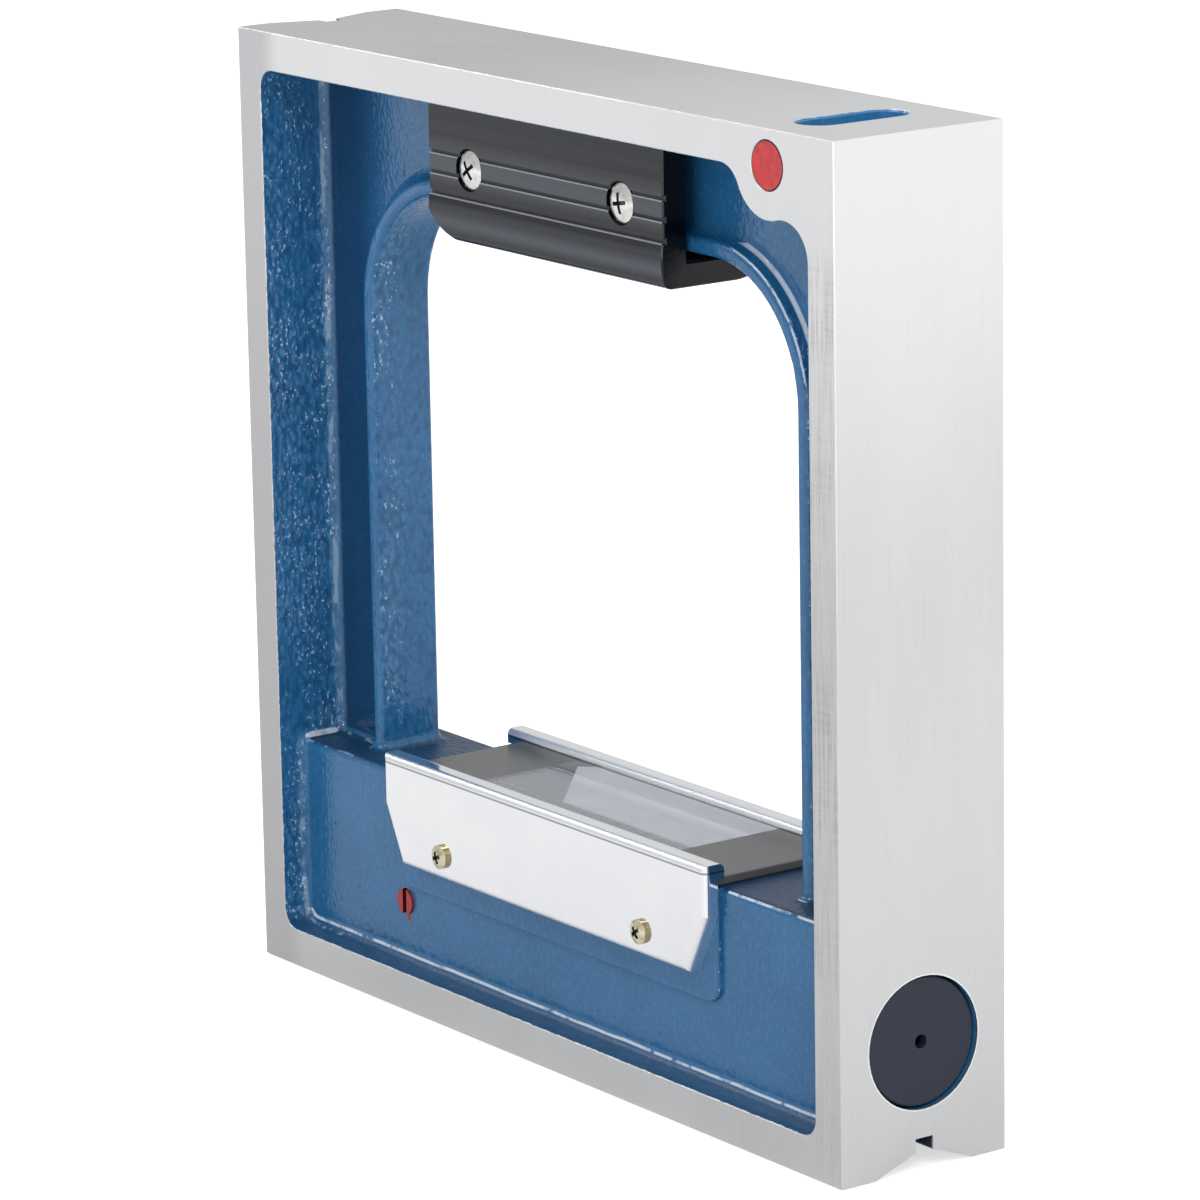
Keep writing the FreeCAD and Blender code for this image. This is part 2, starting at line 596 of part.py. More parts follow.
cover = new_body("front_cover")
extrude(cover, outline(
    sketch_on(cover, "XZ_Plane", lift=half_seat), (f"-{foot_half}", "cover_bottom"),
    (foot_half, "cover_bottom"), (cover_half, cover_shoulder), (cover_half, cover_top),
    (f"-{cover_half}", cover_top), (f"-{cover_half}", cover_shoulder)), "cover_standoff")
extrude(cover, rectangle(sketch_on(cover, "XZ_Plane", lift=cover_lip), f"-{cover_half}", cover_half,
                         glass_top, cover_top), "cover_flange - cover_standoff")
outer_face = number(cover_face)
lip_face = number(cover_lip)
flange_face = number(cover_top)
dress(cover, "Fillet", "cover_bend",
      lambda box: at(box.YMin, box.YMax, outer_face)
      or at(box.YMin, box.YMax, lip_face) and at(box.ZMin, box.ZMax, flange_face))
extrude(cover, outline(
    sketch_on(cover, "XZ_Plane", lift=f"{cover_face} - cover_sheet"),
    (f"-({foot_half} - {foot_shift})", "cover_bottom + cover_sheet"),
    (f"{foot_half} - {foot_shift}", "cover_bottom + cover_sheet"),
    (f"{cover_half} - cover_sheet", f"{cover_shoulder} + {shoulder_shift}"),
    (f"{cover_half} - cover_sheet", f"{cover_top} - cover_sheet"),
    (f"-({cover_half} - cover_sheet)", f"{cover_top} - cover_sheet"),
    (f"-({cover_half} - cover_sheet)", f"{cover_shoulder} + {shoulder_shift}")),
    "cover_flange - 2 * cover_sheet", adds=False)
cover_screw_holes = sketch_on(cover, "XZ_Plane", lift=cover_face)
for side in ("", "-"):
    circle(cover_screw_holes, f"{side}cover_screw_spacing / 2", cover_screw_z,
           "cover_screw_radius + running_gap")
extrude(cover, cover_screw_holes, "cover_standoff", adds=False)
rear_cover = reflected("rear_cover", cover, Y_AXIS)


def cross_screw(label, head_radius, head_height, shank_radius, shank_length, cross_length, cross_depth):
    """A screw with a domed head above its own origin, its shank below, and a driving cross."""
    screw = new_body(label)
    edge = f"{head_height} / 2"
    crown = f"(({head_radius})^2 + ({head_height} - {edge})^2) / 2 / ({head_height} - {edge})"
    turn(screw, outline(
        sketch_on(screw, "XZ_Plane"), ("0", f"-({shank_length})"), (shank_radius, f"-({shank_length})"),
        (shank_radius, "0"), (head_radius, "0"), (head_radius, edge),
        ("0", head_height, crown, 1)), "V_Axis")
    arm = f"{cross_length} / 2"
    width = "cross_recess_width / 2"
    extrude(screw, outline(
        sketch_on(screw, "XY_Plane", lift=head_height),
        (arm, f"-{width}"), (arm, width), (width, width), (width, arm), (f"-{width}", arm),
        (f"-{width}", width), (f"-{arm}", width), (f"-{arm}", f"-{width}"), (f"-{width}", f"-{width}"),
        (f"-{width}", f"-{arm}"), (width, f"-{arm}"), (width, f"-{width}")), cross_depth, adds=False)
    return screw


def screws_on_both_sides(label, screw, spacing, height, reach, turns):
    """Two screws side by side at the front and two at the rear, each turned as it was tightened."""
    links = []
    for side, x_sign, spin in zip(("front", "front", "rear", "rear"), ("-", "", "-", ""), turns):
        link = doc.addObject("App::Link", f"{label}_link")
        link.LinkedObject = screw
        link.LinkTransform = False
        tilt = FreeCAD.Rotation(X_AXIS, QUARTER if side == "front" else -QUARTER)
        tightened = tilt.multiply(FreeCAD.Rotation(Z_AXIS, spin))
        link.Placement = FreeCAD.Placement(FreeCAD.Vector(), tightened)
        bind(link, "Placement.Base.x", f"{x_sign}{spacing} / 2")
        bind(link, "Placement.Base.y", f"{'-' if side == 'front' else ''}({reach})")
        bind(link, "Placement.Base.z", height)
        links.append(link)
    return group(label, links)


COVER_SCREW_TURNS = (20, 35, 5, 60)
GRIP_SCREW_TURNS = (35, 10, 50, 20)
small_screw = cross_screw("small_screw", "cover_head_radius", "cover_head_height", "cover_screw_radius",
                          f"cover_standoff + {cover_screw_depth}", "cross_recess_length",
                          "cross_recess_depth")
cover_screws = screws_on_both_sides("cover_screws", small_screw, "cover_screw_spacing", cover_screw_z,
                                    cover_face, COVER_SCREW_TURNS)
large_screw = cross_screw("large_screw", "grip_head_radius", "grip_head_height", "grip_screw_radius",
                          "grip_head_seat - grip_screw_reach", "head_cross_length", "head_cross_depth")
grip_screws = screws_on_both_sides("grip_screws", large_screw, "grip_screw_spacing", grip_screw_z,
                                   "grip_head_seat", GRIP_SCREW_TURNS)

# The grip is a channel that hangs over the top bar. Its sides are flat with three grooves above
# a rounded belly, and two of its lower corners, front left and rear right, are rounded off.
grip = new_body("grip")
grip_side = "grip_thickness / 2"
belly_y = "(belly_crest - belly_radius)"
belly_z = f"({grip_bottom} + belly_height)"
corner_drop = "(belly_height - belly_corner)"
corner_y = f"({belly_y} + sqrt((belly_radius - belly_corner)^2 - {corner_drop}^2))"
corner_share = "belly_radius / (belly_radius - belly_corner)"
GROOVES = 3
groove_low = "(groove_first - groove_width / 2)"
groove_floor = f"({grip_side} - groove_depth)"
grip_steps = [
    ("0", grip_bottom), (corner_y, grip_bottom),
    (f"{belly_y} + ({corner_y} - {belly_y}) * {corner_share}",
     f"{belly_z} - {corner_drop} * {corner_share}", "belly_corner", 1),
    (f"{belly_y} + sqrt(belly_radius^2 - ({groove_low} - belly_height)^2)",
     f"{grip_bottom} + {groove_low}", "belly_radius", 1)]
for step in range(GROOVES):
    low = f"{grip_bottom} + {groove_low} + {step} * groove_pitch"
    if step:
        grip_steps.append((grip_side, low))
    grip_steps.append((groove_floor, low))
    grip_steps.append((groove_floor, f"{low} + groove_width"))
    grip_steps.append((grip_side, f"{low} + groove_width"))
grip_steps += [
    (grip_side, f"{grip_top} - grip_edge"), (f"{grip_side} - grip_edge", grip_top, "grip_edge", 1),
    ("grip_boss_reach", grip_top), ("grip_boss_reach", f"{grip_bottom} + grip_floor"),
    ("0", f"{grip_bottom} + grip_floor")]
side = extrude(grip, outline(sketch_on(grip, "YZ_Plane"), *grip_steps), "grip_length", symmetric=True)
mirror(grip, [side], "XZ_Plane")
grip_end = number("grip_length / 2")
dress(grip, "Chamfer", "grip_end_edge", lambda box: at(box.XMin, box.XMax, grip_end))
corner_sketch = outline(
    sketch_on(grip, "XZ_Plane", x="-(grip_length / 2 - end_round)", y=grip_bottom, lift="end_round_offset"),
    ("-end_round", "0", "end_round_curve", 1), ("-(end_round + end_round_spread)", "0"),
    ("-(end_round + end_round_spread)", "end_round_rise"))
corner = turn(grip, corner_sketch, "V_Axis", adds=False, angle=QUARTER)
turned_copy(grip, [corner], "Z_Axis", adds=False)
heads = sketch_on(grip, "XZ_Plane", lift="belly_crest")
shanks = sketch_on(grip, "XZ_Plane", lift="belly_crest")
for side in ("", "-"):
    circle(heads, f"{side}{grip_x}", grip_screw_z, "grip_recess_radius")
    circle(shanks, f"{side}{grip_x}", grip_screw_z, "grip_screw_radius + running_gap")
head_recess = extrude(grip, heads, "belly_crest - grip_head_seat", adds=False)
mirror(grip, [head_recess], "XZ_Plane", adds=False)
extrude(grip, shanks, adds=False)

# The cap closes the long bore. Its skirt stands on the shoulder of the wide mouth.
cap = new_body("bore_cap")
cap_length = "(cap_bore_depth - cap_recess)"
cap_radius = "(cap_bore_radius - cap_gap)"
turn(cap, outline(
    sketch_on(cap, "XZ_Plane"), ("cap_hole_radius", cap_length),
    ("cap_hole_radius", f"{cap_length} - cap_face"),
    (f"{cap_radius} - cap_skirt", f"{cap_length} - cap_face"), (f"{cap_radius} - cap_skirt", "0"),
    (cap_radius, "0"), (cap_radius, f"{cap_length} - cap_edge"),
    (f"{cap_radius} - cap_edge", cap_length)), "V_Axis")
place(cap, x=f"{half_side} - cap_bore_depth", z="bore_height", axis=Y_AXIS, angle=QUARTER)

# A pivot screw: a slotted thread in the block that ends in a pin.
pivot = new_body("pivot_screw")
pivot_outer = f"({half_block} + pivot_screw_rise)"
pivot_shoulder = "(bore_radius - pivot_screw_inset)"
pivot_tip = f"({pivot_shoulder} - pivot_pin_length)"
turn(pivot, outline(
    sketch_on(pivot, "XZ_Plane"), ("0", pivot_tip), ("pivot_pin_radius", pivot_tip),
    ("pivot_pin_radius", pivot_shoulder), ("pivot_screw_radius", pivot_shoulder),
    ("pivot_screw_radius", pivot_outer), ("0", pivot_outer)), "V_Axis")
extrude(pivot, rectangle(sketch_on(pivot, "XY_Plane", lift=pivot_outer), "-slot_width / 2",
                         "slot_width / 2", "-pivot_screw_radius", "pivot_screw_radius"),
        "slot_depth", adds=False)
place(pivot, x=f"-{pivot_x}", z=pivot_z, axis=X_AXIS, angle=QUARTER)
pivot_screws = group("pivot_screws", [pivot, reflected("rear_pivot_screw", pivot, Y_AXIS)])

# The carrier bar: round in the bore, with a flat for the vial holders, a hole for the pivot
# pins and a fork for the adjuster's pin.
bar = new_body("carrier_bar")
bar_radius = "(bore_radius - bar_clearance)"
bar_left = f"({pivot_x} + bar_overhang)"
bar_right = f"({bush_right} - bush_length - bar_end_gap)"
bar_flat_z = "(bore_height + bar_flat_rise)"
extrude(bar, circle(sketch_on(bar, "YZ_Plane", lift=f"-{bar_left}"), "0", "bore_height", bar_radius),
        f"{bar_left} + {bar_right}")
extrude(bar, rectangle(sketch_on(bar, "XZ_Plane"), "-bar_flat_length / 2", "bar_flat_length / 2",
                       bar_flat_z, "bore_height + bore_radius"), adds=False, symmetric=True)
extrude(bar, circle(sketch_on(bar, "XZ_Plane"), f"-{pivot_x}", pivot_z, "pivot_pin_radius + running_gap"),
        adds=False, symmetric=True)
fork_half = "(adjuster_pin_radius + fork_gap)"
extrude(bar, rectangle(sketch_on(bar, "XZ_Plane"), f"{bar_right} - fork_length", bar_right,
                       f"bore_height - {fork_half}", f"bore_height + {fork_half}"),
        adds=False, symmetric=True)

# The two holders stand on the flat and hold the vial in rings.
holders = new_body("vial_holders")
ring = "(vial_radius + running_gap + holder_wall)"
ring_foot = "holder_foot / 2"
holder_sketch = outline(
    sketch_on(holders, "YZ_Plane", lift="holder_spacing / 2 - holder_thickness / 2"),
    (f"-{ring_foot}", bar_flat_z), (ring_foot, bar_flat_z), (ring, vial_z),
    ("0", f"{vial_z} + {ring}", ring, 1), (f"-{ring}", vial_z, ring, 1))
circle(holder_sketch, "0", vial_z, "vial_radius + running_gap")
holder = extrude(holders, holder_sketch, "holder_thickness")
mirror(holders, [holder], "YZ_Plane")


def tube(label, outer, inner, length):
    """A glass tube about its own Z axis, its middle at the origin."""
    body = new_body(label)
    sketch = circle(sketch_on(body, "XY_Plane"), "0", "0", outer)
    circle(sketch, "0", "0", inner)
    extrude(body, sketch, length, symmetric=True)
    return body


def plugs(label, radius, length, thickness):
    """Two discs in the ends of a tube."""
    body = new_body(label)
    sketch = circle(sketch_on(body, "XY_Plane", lift=f"{length} / 2 - {thickness}"), "0", "0", radius)
    disc = extrude(body, sketch, thickness)
    mirror(body, [disc], "XY_Plane")
    return body


def liquid(label, radius, half_length, level, free_half):
    """A filled tube about its own X axis, cut down to the liquid's level along the bubble's way."""
    body = new_body(label)
    extrude(body, circle(sketch_on(body, "YZ_Plane"), "0", "0", radius), f"2 * ({half_length})",
            symmetric=True)
    extrude(body, rectangle(sketch_on(body, "XZ_Plane"), f"-({free_half})", free_half, level, radius),
            adds=False, symmetric=True)
    return body


def bubble(label, radius, level, length):
    """A bubble along its own X axis: flat below, round above and at both ends."""
    half_width = f"sqrt(({radius})^2 - ({level})^2)"
    profile = new_body(f"{label}_profile")
    extrude(profile, outline(
        sketch_on(profile, "YZ_Plane"), (f"-{half_width}", level, radius, 1), (half_width, level),
        ("0", radius, radius, 1)), length, symmetric=True)
    plan = new_body(f"{label}_plan")
    straight = f"({length} / 2 - {half_width})"
    extrude(plan, outline(
        sketch_on(plan, "XY_Plane"), (straight, f"-{half_width}"), (f"{length} / 2", "0", half_width, 1),
        (straight, half_width, half_width, 1), (f"-{straight}", half_width),
        (f"-{length} / 2", "0", half_width, 1), (f"-{straight}", f"-{half_width}", half_width, 1)),
        f"2 * ({radius})", symmetric=True)
    common = doc.addObject("Part::MultiCommon", label)
    common.Shapes = [profile, plan]
    doc.recompute()
    return common


# The main vial lies along X over the bar.
main_tube = place(tube("main_vial_glass", "vial_radius", "vial_bore_radius", vial_length),
                  z=vial_z, axis=Y_AXIS, angle=QUARTER)
main_plugs = place(plugs("main_vial_plugs", "vial_bore_radius - running_gap", vial_length, "vial_plug"),
                   z=vial_z, axis=Y_AXIS, angle=QUARTER)
main_liquid = place(liquid("main_vial_spirit", "(vial_bore_radius - running_gap)",
                           f"{vial_length} / 2 - vial_plug - running_gap", "air_level",
                           "bubble_length / 2 + bubble_travel + bubble_gap"), z=vial_z)
main_bubble = place(bubble("main_vial_bubble", "(vial_bore_radius - bubble_gap)",
                           "(air_level + liquid_gap)", "bubble_length"), z=vial_z)

# The cross vial lies along Y in the boss, between two seals.
cross_tube = place(tube("cross_vial_glass", "cross_radius", "cross_tube_bore", "cross_length"),
                   x=boss_x, z=cross_z, axis=X_AXIS, angle=QUARTER)
cross_plugs = place(plugs("cross_vial_plugs", "cross_tube_bore - running_gap", "cross_length",
                          "cross_plug"),
                    x=boss_x, z=cross_z, axis=X_AXIS, angle=QUARTER)
cross_liquid = place(liquid("cross_vial_spirit", "(cross_tube_bore - running_gap)",
                            "cross_length / 2 - cross_plug - running_gap", "cross_air_level",
                            "cross_bubble_length / 2 + cross_bubble_travel + bubble_gap"),
                     x=boss_x, z=cross_z, angle=QUARTER)
cross_bubble = place(bubble("cross_vial_bubble", "(cross_tube_bore - bubble_gap)",
                            "(cross_air_level + liquid_gap)", "cross_bubble_length"),
                     x=boss_x, z=cross_z, angle=QUARTER)
seals = place(plugs("cross_vial_seals", "cross_bore_radius - running_gap", "frame_depth",
                    f"({half_depth} - cross_length / 2)"),
              x=boss_x, z=cross_z, axis=X_AXIS, angle=QUARTER)

# The adjuster's own Z axis points out of the bore, its origin at the outer end of the bush.
bush = new_body("adjuster_bush")
bush_sketch = circle(sketch_on(bush, "XY_Plane", lift="-bush_length"), "0", "0",
                     "bore_radius - running_gap")
circle(bush_sketch, "0", "0", "journal_radius + running_gap")
extrude(bush, bush_sketch, "bush_length")

washer = new_body("adjuster_washer")
washer_sketch = circle(sketch_on(washer, "XY_Plane", lift="running_gap"), "0", "0", "washer_radius")
circle(washer_sketch, "0", "0", "journal_radius + running_gap")
extrude(washer, washer_sketch, "washer_thickness")

spindle = new_body("adjuster_spindle")
head_low = "(washer_thickness + running_gap)"
head_high = f"({head_low} + spindle_head_length)"
clip_high = "(-bush_length - running_gap)"
clip_low = f"({clip_high} - clip_thickness)"
tail = "(-bush_length - spindle_tail)"
turn(spindle, outline(
    sketch_on(spindle, "XZ_Plane"), ("0", tail), ("journal_radius", tail),
    ("journal_radius", f"{clip_low} - running_gap"),
    ("clip_groove_radius", f"{clip_low} - running_gap"),
    ("clip_groove_radius", f"{clip_high} + running_gap / 2"),
    ("journal_radius", f"{clip_high} + running_gap / 2"),
    ("journal_radius", head_low), ("spindle_head_radius", head_low), ("spindle_head_radius", head_high),
    ("0", head_high)), "V_Axis")
pin = circle(sketch_on(spindle, "XY_Plane", lift=tail), "0", "adjuster_throw", "adjuster_pin_radius")
extrude(spindle, pin, "adjuster_pin_length", reverse=True)
extrude(spindle, rectangle(sketch_on(spindle, "XY_Plane", lift=head_high), "-head_slot_width / 2",
                           "head_slot_width / 2", "-spindle_head_radius", "spindle_head_radius"),
        "head_slot_depth", adds=False)

clip = new_body("adjuster_clip")
clip_sketch = circle(sketch_on(clip, "XY_Plane", lift=clip_low), "0", "0", "clip_radius")
circle(clip_sketch, "0", "0", "clip_groove_radius + running_gap")
extrude(clip, clip_sketch, "clip_thickness")
mouth = rectangle(sketch_on(clip, "XY_Plane"), "0", "clip_radius", "-clip_opening / 2", "clip_opening / 2")
extrude(clip, mouth, adds=False, symmetric=True)
for piece in (bush, washer, spindle, clip):
    place(piece, x=bush_right, z="bore_height", axis=Y_AXIS, angle=QUARTER)

doc.recompute()
NODES = (frame, gasket, glass, cover, rear_cover, cover_screws, grip_screws, grip, cap, pivot_screws, bar,
         holders, main_tube, main_plugs, main_liquid, main_bubble, cross_tube, cross_plugs, cross_liquid,
         cross_bubble, seals, bush, washer, spindle, clip)
for thing in doc.Objects:
    if "Invalid" in thing.State or "Error" in thing.State:
        raise ValueError(f"{thing.Label} has failed: {thing.State}")
for node in NODES:
    if node.Shape.isNull() or not node.Shape.isValid():
        raise ValueError(f"{node.Label} has no valid shape")
os.makedirs("parts", exist_ok=True)
for node in NODES:
    node.Shape.exportStep(f"parts/{node.Label}.step")
    solids = len(node.Shape.Solids)
    print(f"{node.Label:20} {solids} solids, volume {node.Shape.Volume:10.1f}, {node.Shape.BoundBox}")
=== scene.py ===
# %% [markdown]
# # A square precision level
# The level is a cast-iron frame, 200 mm square and 40 mm deep. Its outer faces are ground
# bare, its recesses wear blue enamel, and a vial sits in the lower bar under a glass plate
# between two chromed covers. The exact solids are loaded from model.glb. This script gives
# them their finishes and sets up the light, the floor and the camera. Lengths are in metres,
# and X runs along the front, Y to the rear and Z upwards.

# %% Load the solids
import bmesh
import bpy
import math
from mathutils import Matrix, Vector

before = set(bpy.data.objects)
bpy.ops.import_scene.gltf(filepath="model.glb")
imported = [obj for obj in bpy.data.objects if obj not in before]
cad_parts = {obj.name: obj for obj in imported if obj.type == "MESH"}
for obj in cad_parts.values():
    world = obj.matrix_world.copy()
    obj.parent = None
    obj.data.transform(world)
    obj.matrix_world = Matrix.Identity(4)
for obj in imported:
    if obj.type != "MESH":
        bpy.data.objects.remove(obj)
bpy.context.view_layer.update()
MM = 0.001

# %% [markdown]
# ## Camera
# The photograph was taken with a long lens from the front right, a little above the level.
# The place, the turn and the lens below come from the corners of the frame in the picture.

# %% Set the camera
CAMERA_PLACE = (0.9565, -0.6886, 0.3751)
CAMERA_TURN = (76.545, 0.981, 54.092)
LENS = 181.7
SENSOR = 36.0
lens = bpy.data.cameras.new("camera")
lens.lens = LENS
lens.sensor_width = SENSOR
camera = bpy.data.objects.new("camera", lens)
camera.location = CAMERA_PLACE
camera.rotation_euler = [math.radians(angle) for angle in CAMERA_TURN]
bpy.context.collection.objects.link(camera)
bpy.context.scene.camera = camera
bpy.context.scene.view_settings.view_transform = "Standard"
print("camera at", CAMERA_PLACE, "with a", LENS, "mm lens")

# %% [markdown]
# ## Fields
# A finish is a small graph of shader nodes. A field stands for what a node puts out: a number,
# a place or a colour that varies over a surface. Number fields add, multiply and compare like
# plain numbers, and each such step adds a node. A mask is a field of 0 and 1, so the product
# of two masks is where both hold.

# %% A field and its arithmetic
class Field:
    """What a node puts out."""

    def __init__(self, socket):
        self.socket = socket
        self.tree = socket.id_data

    def maths(self, operation, *others):
        inputs = dict(enumerate((self,) + others))
        return Field(node(self.tree, "Math", inputs, operation=operation).outputs[0])

    def __add__(self, other):
        return self.maths("ADD", other)

    def __radd__(self, other):
        return self.maths("ADD", other)

    def __sub__(self, other):
        return self.maths("SUBTRACT", other)

    def __mul__(self, other):
        return self.maths("MULTIPLY", other)

    def __gt__(self, limit):
        return self.maths("GREATER_THAN", limit)

    def __lt__(self, limit):
        return self.maths("LESS_THAN", limit)

    def __abs__(self):
        return self.maths("ABSOLUTE")

    def inverse(self):
        """1 for 0, and 0 for 1."""
        return Field(node(self.tree, "Math", {0: 1.0, 1: self}, operation="SUBTRACT").outputs[0])

    def near(self, middle, reach):
        """1 within reach of the middle, and 0 beyond."""
        return self.maths("COMPARE", middle, reach)

    def between(self, start, end):
        """0 before the start, 1 past the end, and a smooth rise between. The end may be the lower one."""
        inputs = {"Value": self, "From Min": start, "From Max": end}
        return Field(node(self.tree, "MapRange", inputs, interpolation_type="SMOOTHSTEP").outputs[0])


def plug(value, socket):
    """Fill a node's input with a plain value, or join it to what another node puts out."""
    if isinstance(value, Field):
        value = value.socket
    if isinstance(value, bpy.types.NodeSocket):
        socket.id_data.links.new(value, socket)
    else:
        socket.default_value = value


def node(tree, kind, inputs=(), **settings):
    made = tree.nodes.new("ShaderNode" + kind)
    for name, value in settings.items():
        setattr(made, name, value)
    for socket, value in dict(inputs).items():
        plug(value, made.inputs[socket])
    return made

# %% [markdown]
# A few more helpers give the larger of some fields, a blend of two numbers or two colours, the
# usual patterns, and the three axes of a place or of a direction.

# %% Patterns and blends
def either(first, *others):
    """The larger of the fields: for masks, where any of them holds."""
    for other in others:
        first = first.maths("MAXIMUM", other)
    return first


def mixed(share, first, second):
    return Field(node(share.tree, "Mix", {0: share, 2: first, 3: second}).outputs[0])


def blend(share, first, second):
    """The first colour where the share is 0, and the second where it is 1."""
    return Field(node(share.tree, "Mix", {0: share, 6: first, 7: second}, data_type="RGBA").outputs[2])


def noise(place, scale, detail=2.0, roughness=0.5):
    inputs = {"Vector": place, "Scale": scale, "Detail": detail, "Roughness": roughness}
    return Field(node(place.tree, "TexNoise", inputs).outputs["Fac"])


def cell_distance(place, scale, **settings):
    inputs = {"Vector": place, "Scale": scale}
    return Field(node(place.tree, "TexVoronoi", inputs, **settings).outputs["Distance"])


def stretched(place, scale):
    """The place, scaled along each axis, so that a pattern gets a grain."""
    return Field(node(place.tree, "Mapping", {"Vector": place, "Scale": scale}).outputs[0])


def axes(vector):
    return [Field(socket) for socket in node(vector.tree, "SeparateXYZ", {0: vector}).outputs]

# %% [markdown]
# A material starts as one shader with plain values. Fields then drive some of its sockets, a
# height pattern may tilt the light on it, and the solids with the given names wear it.

# %% Materials
def finish(name, **sockets):
    """A new material and its shader."""
    made = bpy.data.materials.new(name)
    made.use_nodes = True
    shader = made.node_tree.nodes["Principled BSDF"]
    drive(shader, **sockets)
    return made, shader


def drive(shader, **sockets):
    for name, value in sockets.items():
        plug(value, shader.inputs[name.replace("_", " ")])


def grain(shader, height, strength, distance):
    inputs = {"Height": height, "Strength": strength, "Distance": distance}
    drive(shader, Normal=node(shader.id_data, "Bump", inputs).outputs[0])


def place_on(shader):
    return Field(node(shader.id_data, "TexCoord").outputs["Object"])


def facing_of(shader):
    return Field(node(shader.id_data, "TexCoord").outputs["Normal"])


def wear(material, *names):
    for name in names:
        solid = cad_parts[name]
        solid.data.materials.clear()
        solid.data.materials.append(material)
    print(material.name, "on", ", ".join(names))

# %% [markdown]
# ## Studio
# The picture is a packshot: a white room, soft light from every side, and nothing in sight but
# the level. The room is white to the camera and through glass. As a light it is dimmer towards
# the front and the left, so that the ground border stays greyer than the right face.

# %% World
ROOM_LIGHT = 0.76
MORE_AT_RIGHT = 0.16
MORE_BEHIND = 0.10
WHITE = (1, 1, 1, 1)
world = bpy.data.worlds.new("white room")
bpy.context.scene.world = world
world.use_nodes = True
sky = world.node_tree


def in_sight(tree):
    """1 for what the camera sees, straight or through glass, and 0 for light and mirror images."""
    path = node(tree, "LightPath")
    return either(Field(path.outputs["Is Camera Ray"]), Field(path.outputs["Is Transmission Ray"]))


way_x, way_y, way_z = axes(Field(node(sky, "TexCoord").outputs["Generated"]))
light = way_x * MORE_AT_RIGHT + ROOM_LIGHT + way_y * MORE_BEHIND
glow = node(sky, "Background", {"Color": (0.97, 0.98, 1.0, 1), "Strength": light})
white = node(sky, "Background", {"Color": WHITE, "Strength": 1.0})
room = node(sky, "MixShader", {0: in_sight(sky), 1: glow.outputs[0], 2: white.outputs[0]})
plug(room.outputs[0], sky.nodes["World Output"].inputs["Surface"])
print("a white room with", len(sky.nodes), "nodes")

# %% [markdown]
# Two slim strip lamps draw the bright lines along the wet-looking enamel, one at the front
# right for upright edges and one at the upper left for level ones. A small lamp high in front
# lights the curved rim, and a soft key light stands at the upper right.

# %% Lamps
MIDDLE = Vector((0, 0, 0.1))


def lamp_at(name, direction, distance, width, height, watts):
    """A rectangular lamp in a direction from the middle of the level, which it faces."""
    lamp = bpy.data.lights.new(name, "AREA")
    lamp.shape = "RECTANGLE"
    lamp.size = width
    lamp.size_y = height
    lamp.energy = watts
    holder = bpy.data.objects.new(name, lamp)
    offset = Vector(direction).normalized() * distance
    holder.location = MIDDLE + offset
    holder.rotation_euler = (-offset).to_track_quat("-Z", "Y").to_euler()
    bpy.context.collection.objects.link(holder)
    print(name, watts, "W at", [round(c, 2) for c in holder.location])


lamp_at("front_strip", (0.60, -0.80, 0.02), distance=1.3, width=0.05, height=0.9, watts=1.7)
lamp_at("upper_strip", (-0.74, -0.30, 0.60), distance=1.3, width=0.9, height=0.05, watts=1.6)
lamp_at("rim_lamp", (-0.20, -0.50, 0.82), distance=1.3, width=0.2, height=0.2, watts=2.0)
lamp_at("key_light", (0.75, -0.35, 0.75), distance=1.5, width=0.5, height=0.5, watts=4.0)

# %% [markdown]
# The level stands on white paper that runs out of the picture. The paper glows though it is no
# lamp: a painted shadow of the level dims it under the level, and away from there it glows more,
# a painted light, so the ground faces mirror a brighter floor towards their tops. To the camera
# the paper is paler and glows evenly, so that it melts into the white of the room.

# %% Floor
PAPER_HALF = 3.0
PAPER_DROP = 0.2 * MM
FROM_PAINTED_SHADOW = (0.20, 0.14, 0)
PAINTED_SHADOW_RADIUS = 0.25
FULL_GLOW_RADIUS = 1.3
PAPER_GLOW = 0.55
SHADOW_GLOW = 0.08
floor_mesh = bmesh.new()
bmesh.ops.create_grid(floor_mesh, x_segments=1, y_segments=1, size=PAPER_HALF)
floor_data = bpy.data.meshes.new("floor")
floor_mesh.to_mesh(floor_data)
floor_mesh.free()
floor = bpy.data.objects.new("floor", floor_data)
floor.location.z = -PAPER_DROP
bpy.context.collection.objects.link(floor)
paper, shader = finish("white paper", Roughness=0.9)
tree = paper.node_tree
seen = in_sight(tree)
shifted = node(tree, "VectorMath", {0: place_on(shader), 1: FROM_PAINTED_SHADOW}, operation="ADD").outputs[0]
away = Field(node(tree, "VectorMath", {0: shifted}, operation="LENGTH").outputs["Value"])
# painted light: the paper glows more away from a painted shadow under the level
painted_glow = mixed(seen, away.between(PAINTED_SHADOW_RADIUS, FULL_GLOW_RADIUS) * PAPER_GLOW + SHADOW_GLOW, PAPER_GLOW)
# a paler copy of the paper for the camera and a dimmer one for light and mirror images
drive(shader, Base_Color=blend(seen, (0.78, 0.78, 0.78, 1), (0.9, 0.9, 0.9, 1)))
emission = node(tree, "Emission", {"Color": WHITE, "Strength": painted_glow})
lit = node(tree, "AddShader", {0: shader.outputs[0], 1: emission.outputs[0]})
plug(lit.outputs[0], tree.nodes["Material Output"].inputs["Surface"])
floor_data.materials.append(paper)
print("paper of", 2 * PAPER_HALF, "m square")

# %% [markdown]
# ## The casting: enamel and ground iron
# The whole casting is one piece, so one material decides from the place on it whether the
# surface is ground or enamelled. Everything that lies in an outer plane or in a vee is ground
# bright, and so are the broken outer edges and the edge of the cap's mouth. The rest is
# enamel. A little noise makes the paint's border uneven, as a brush leaves it.

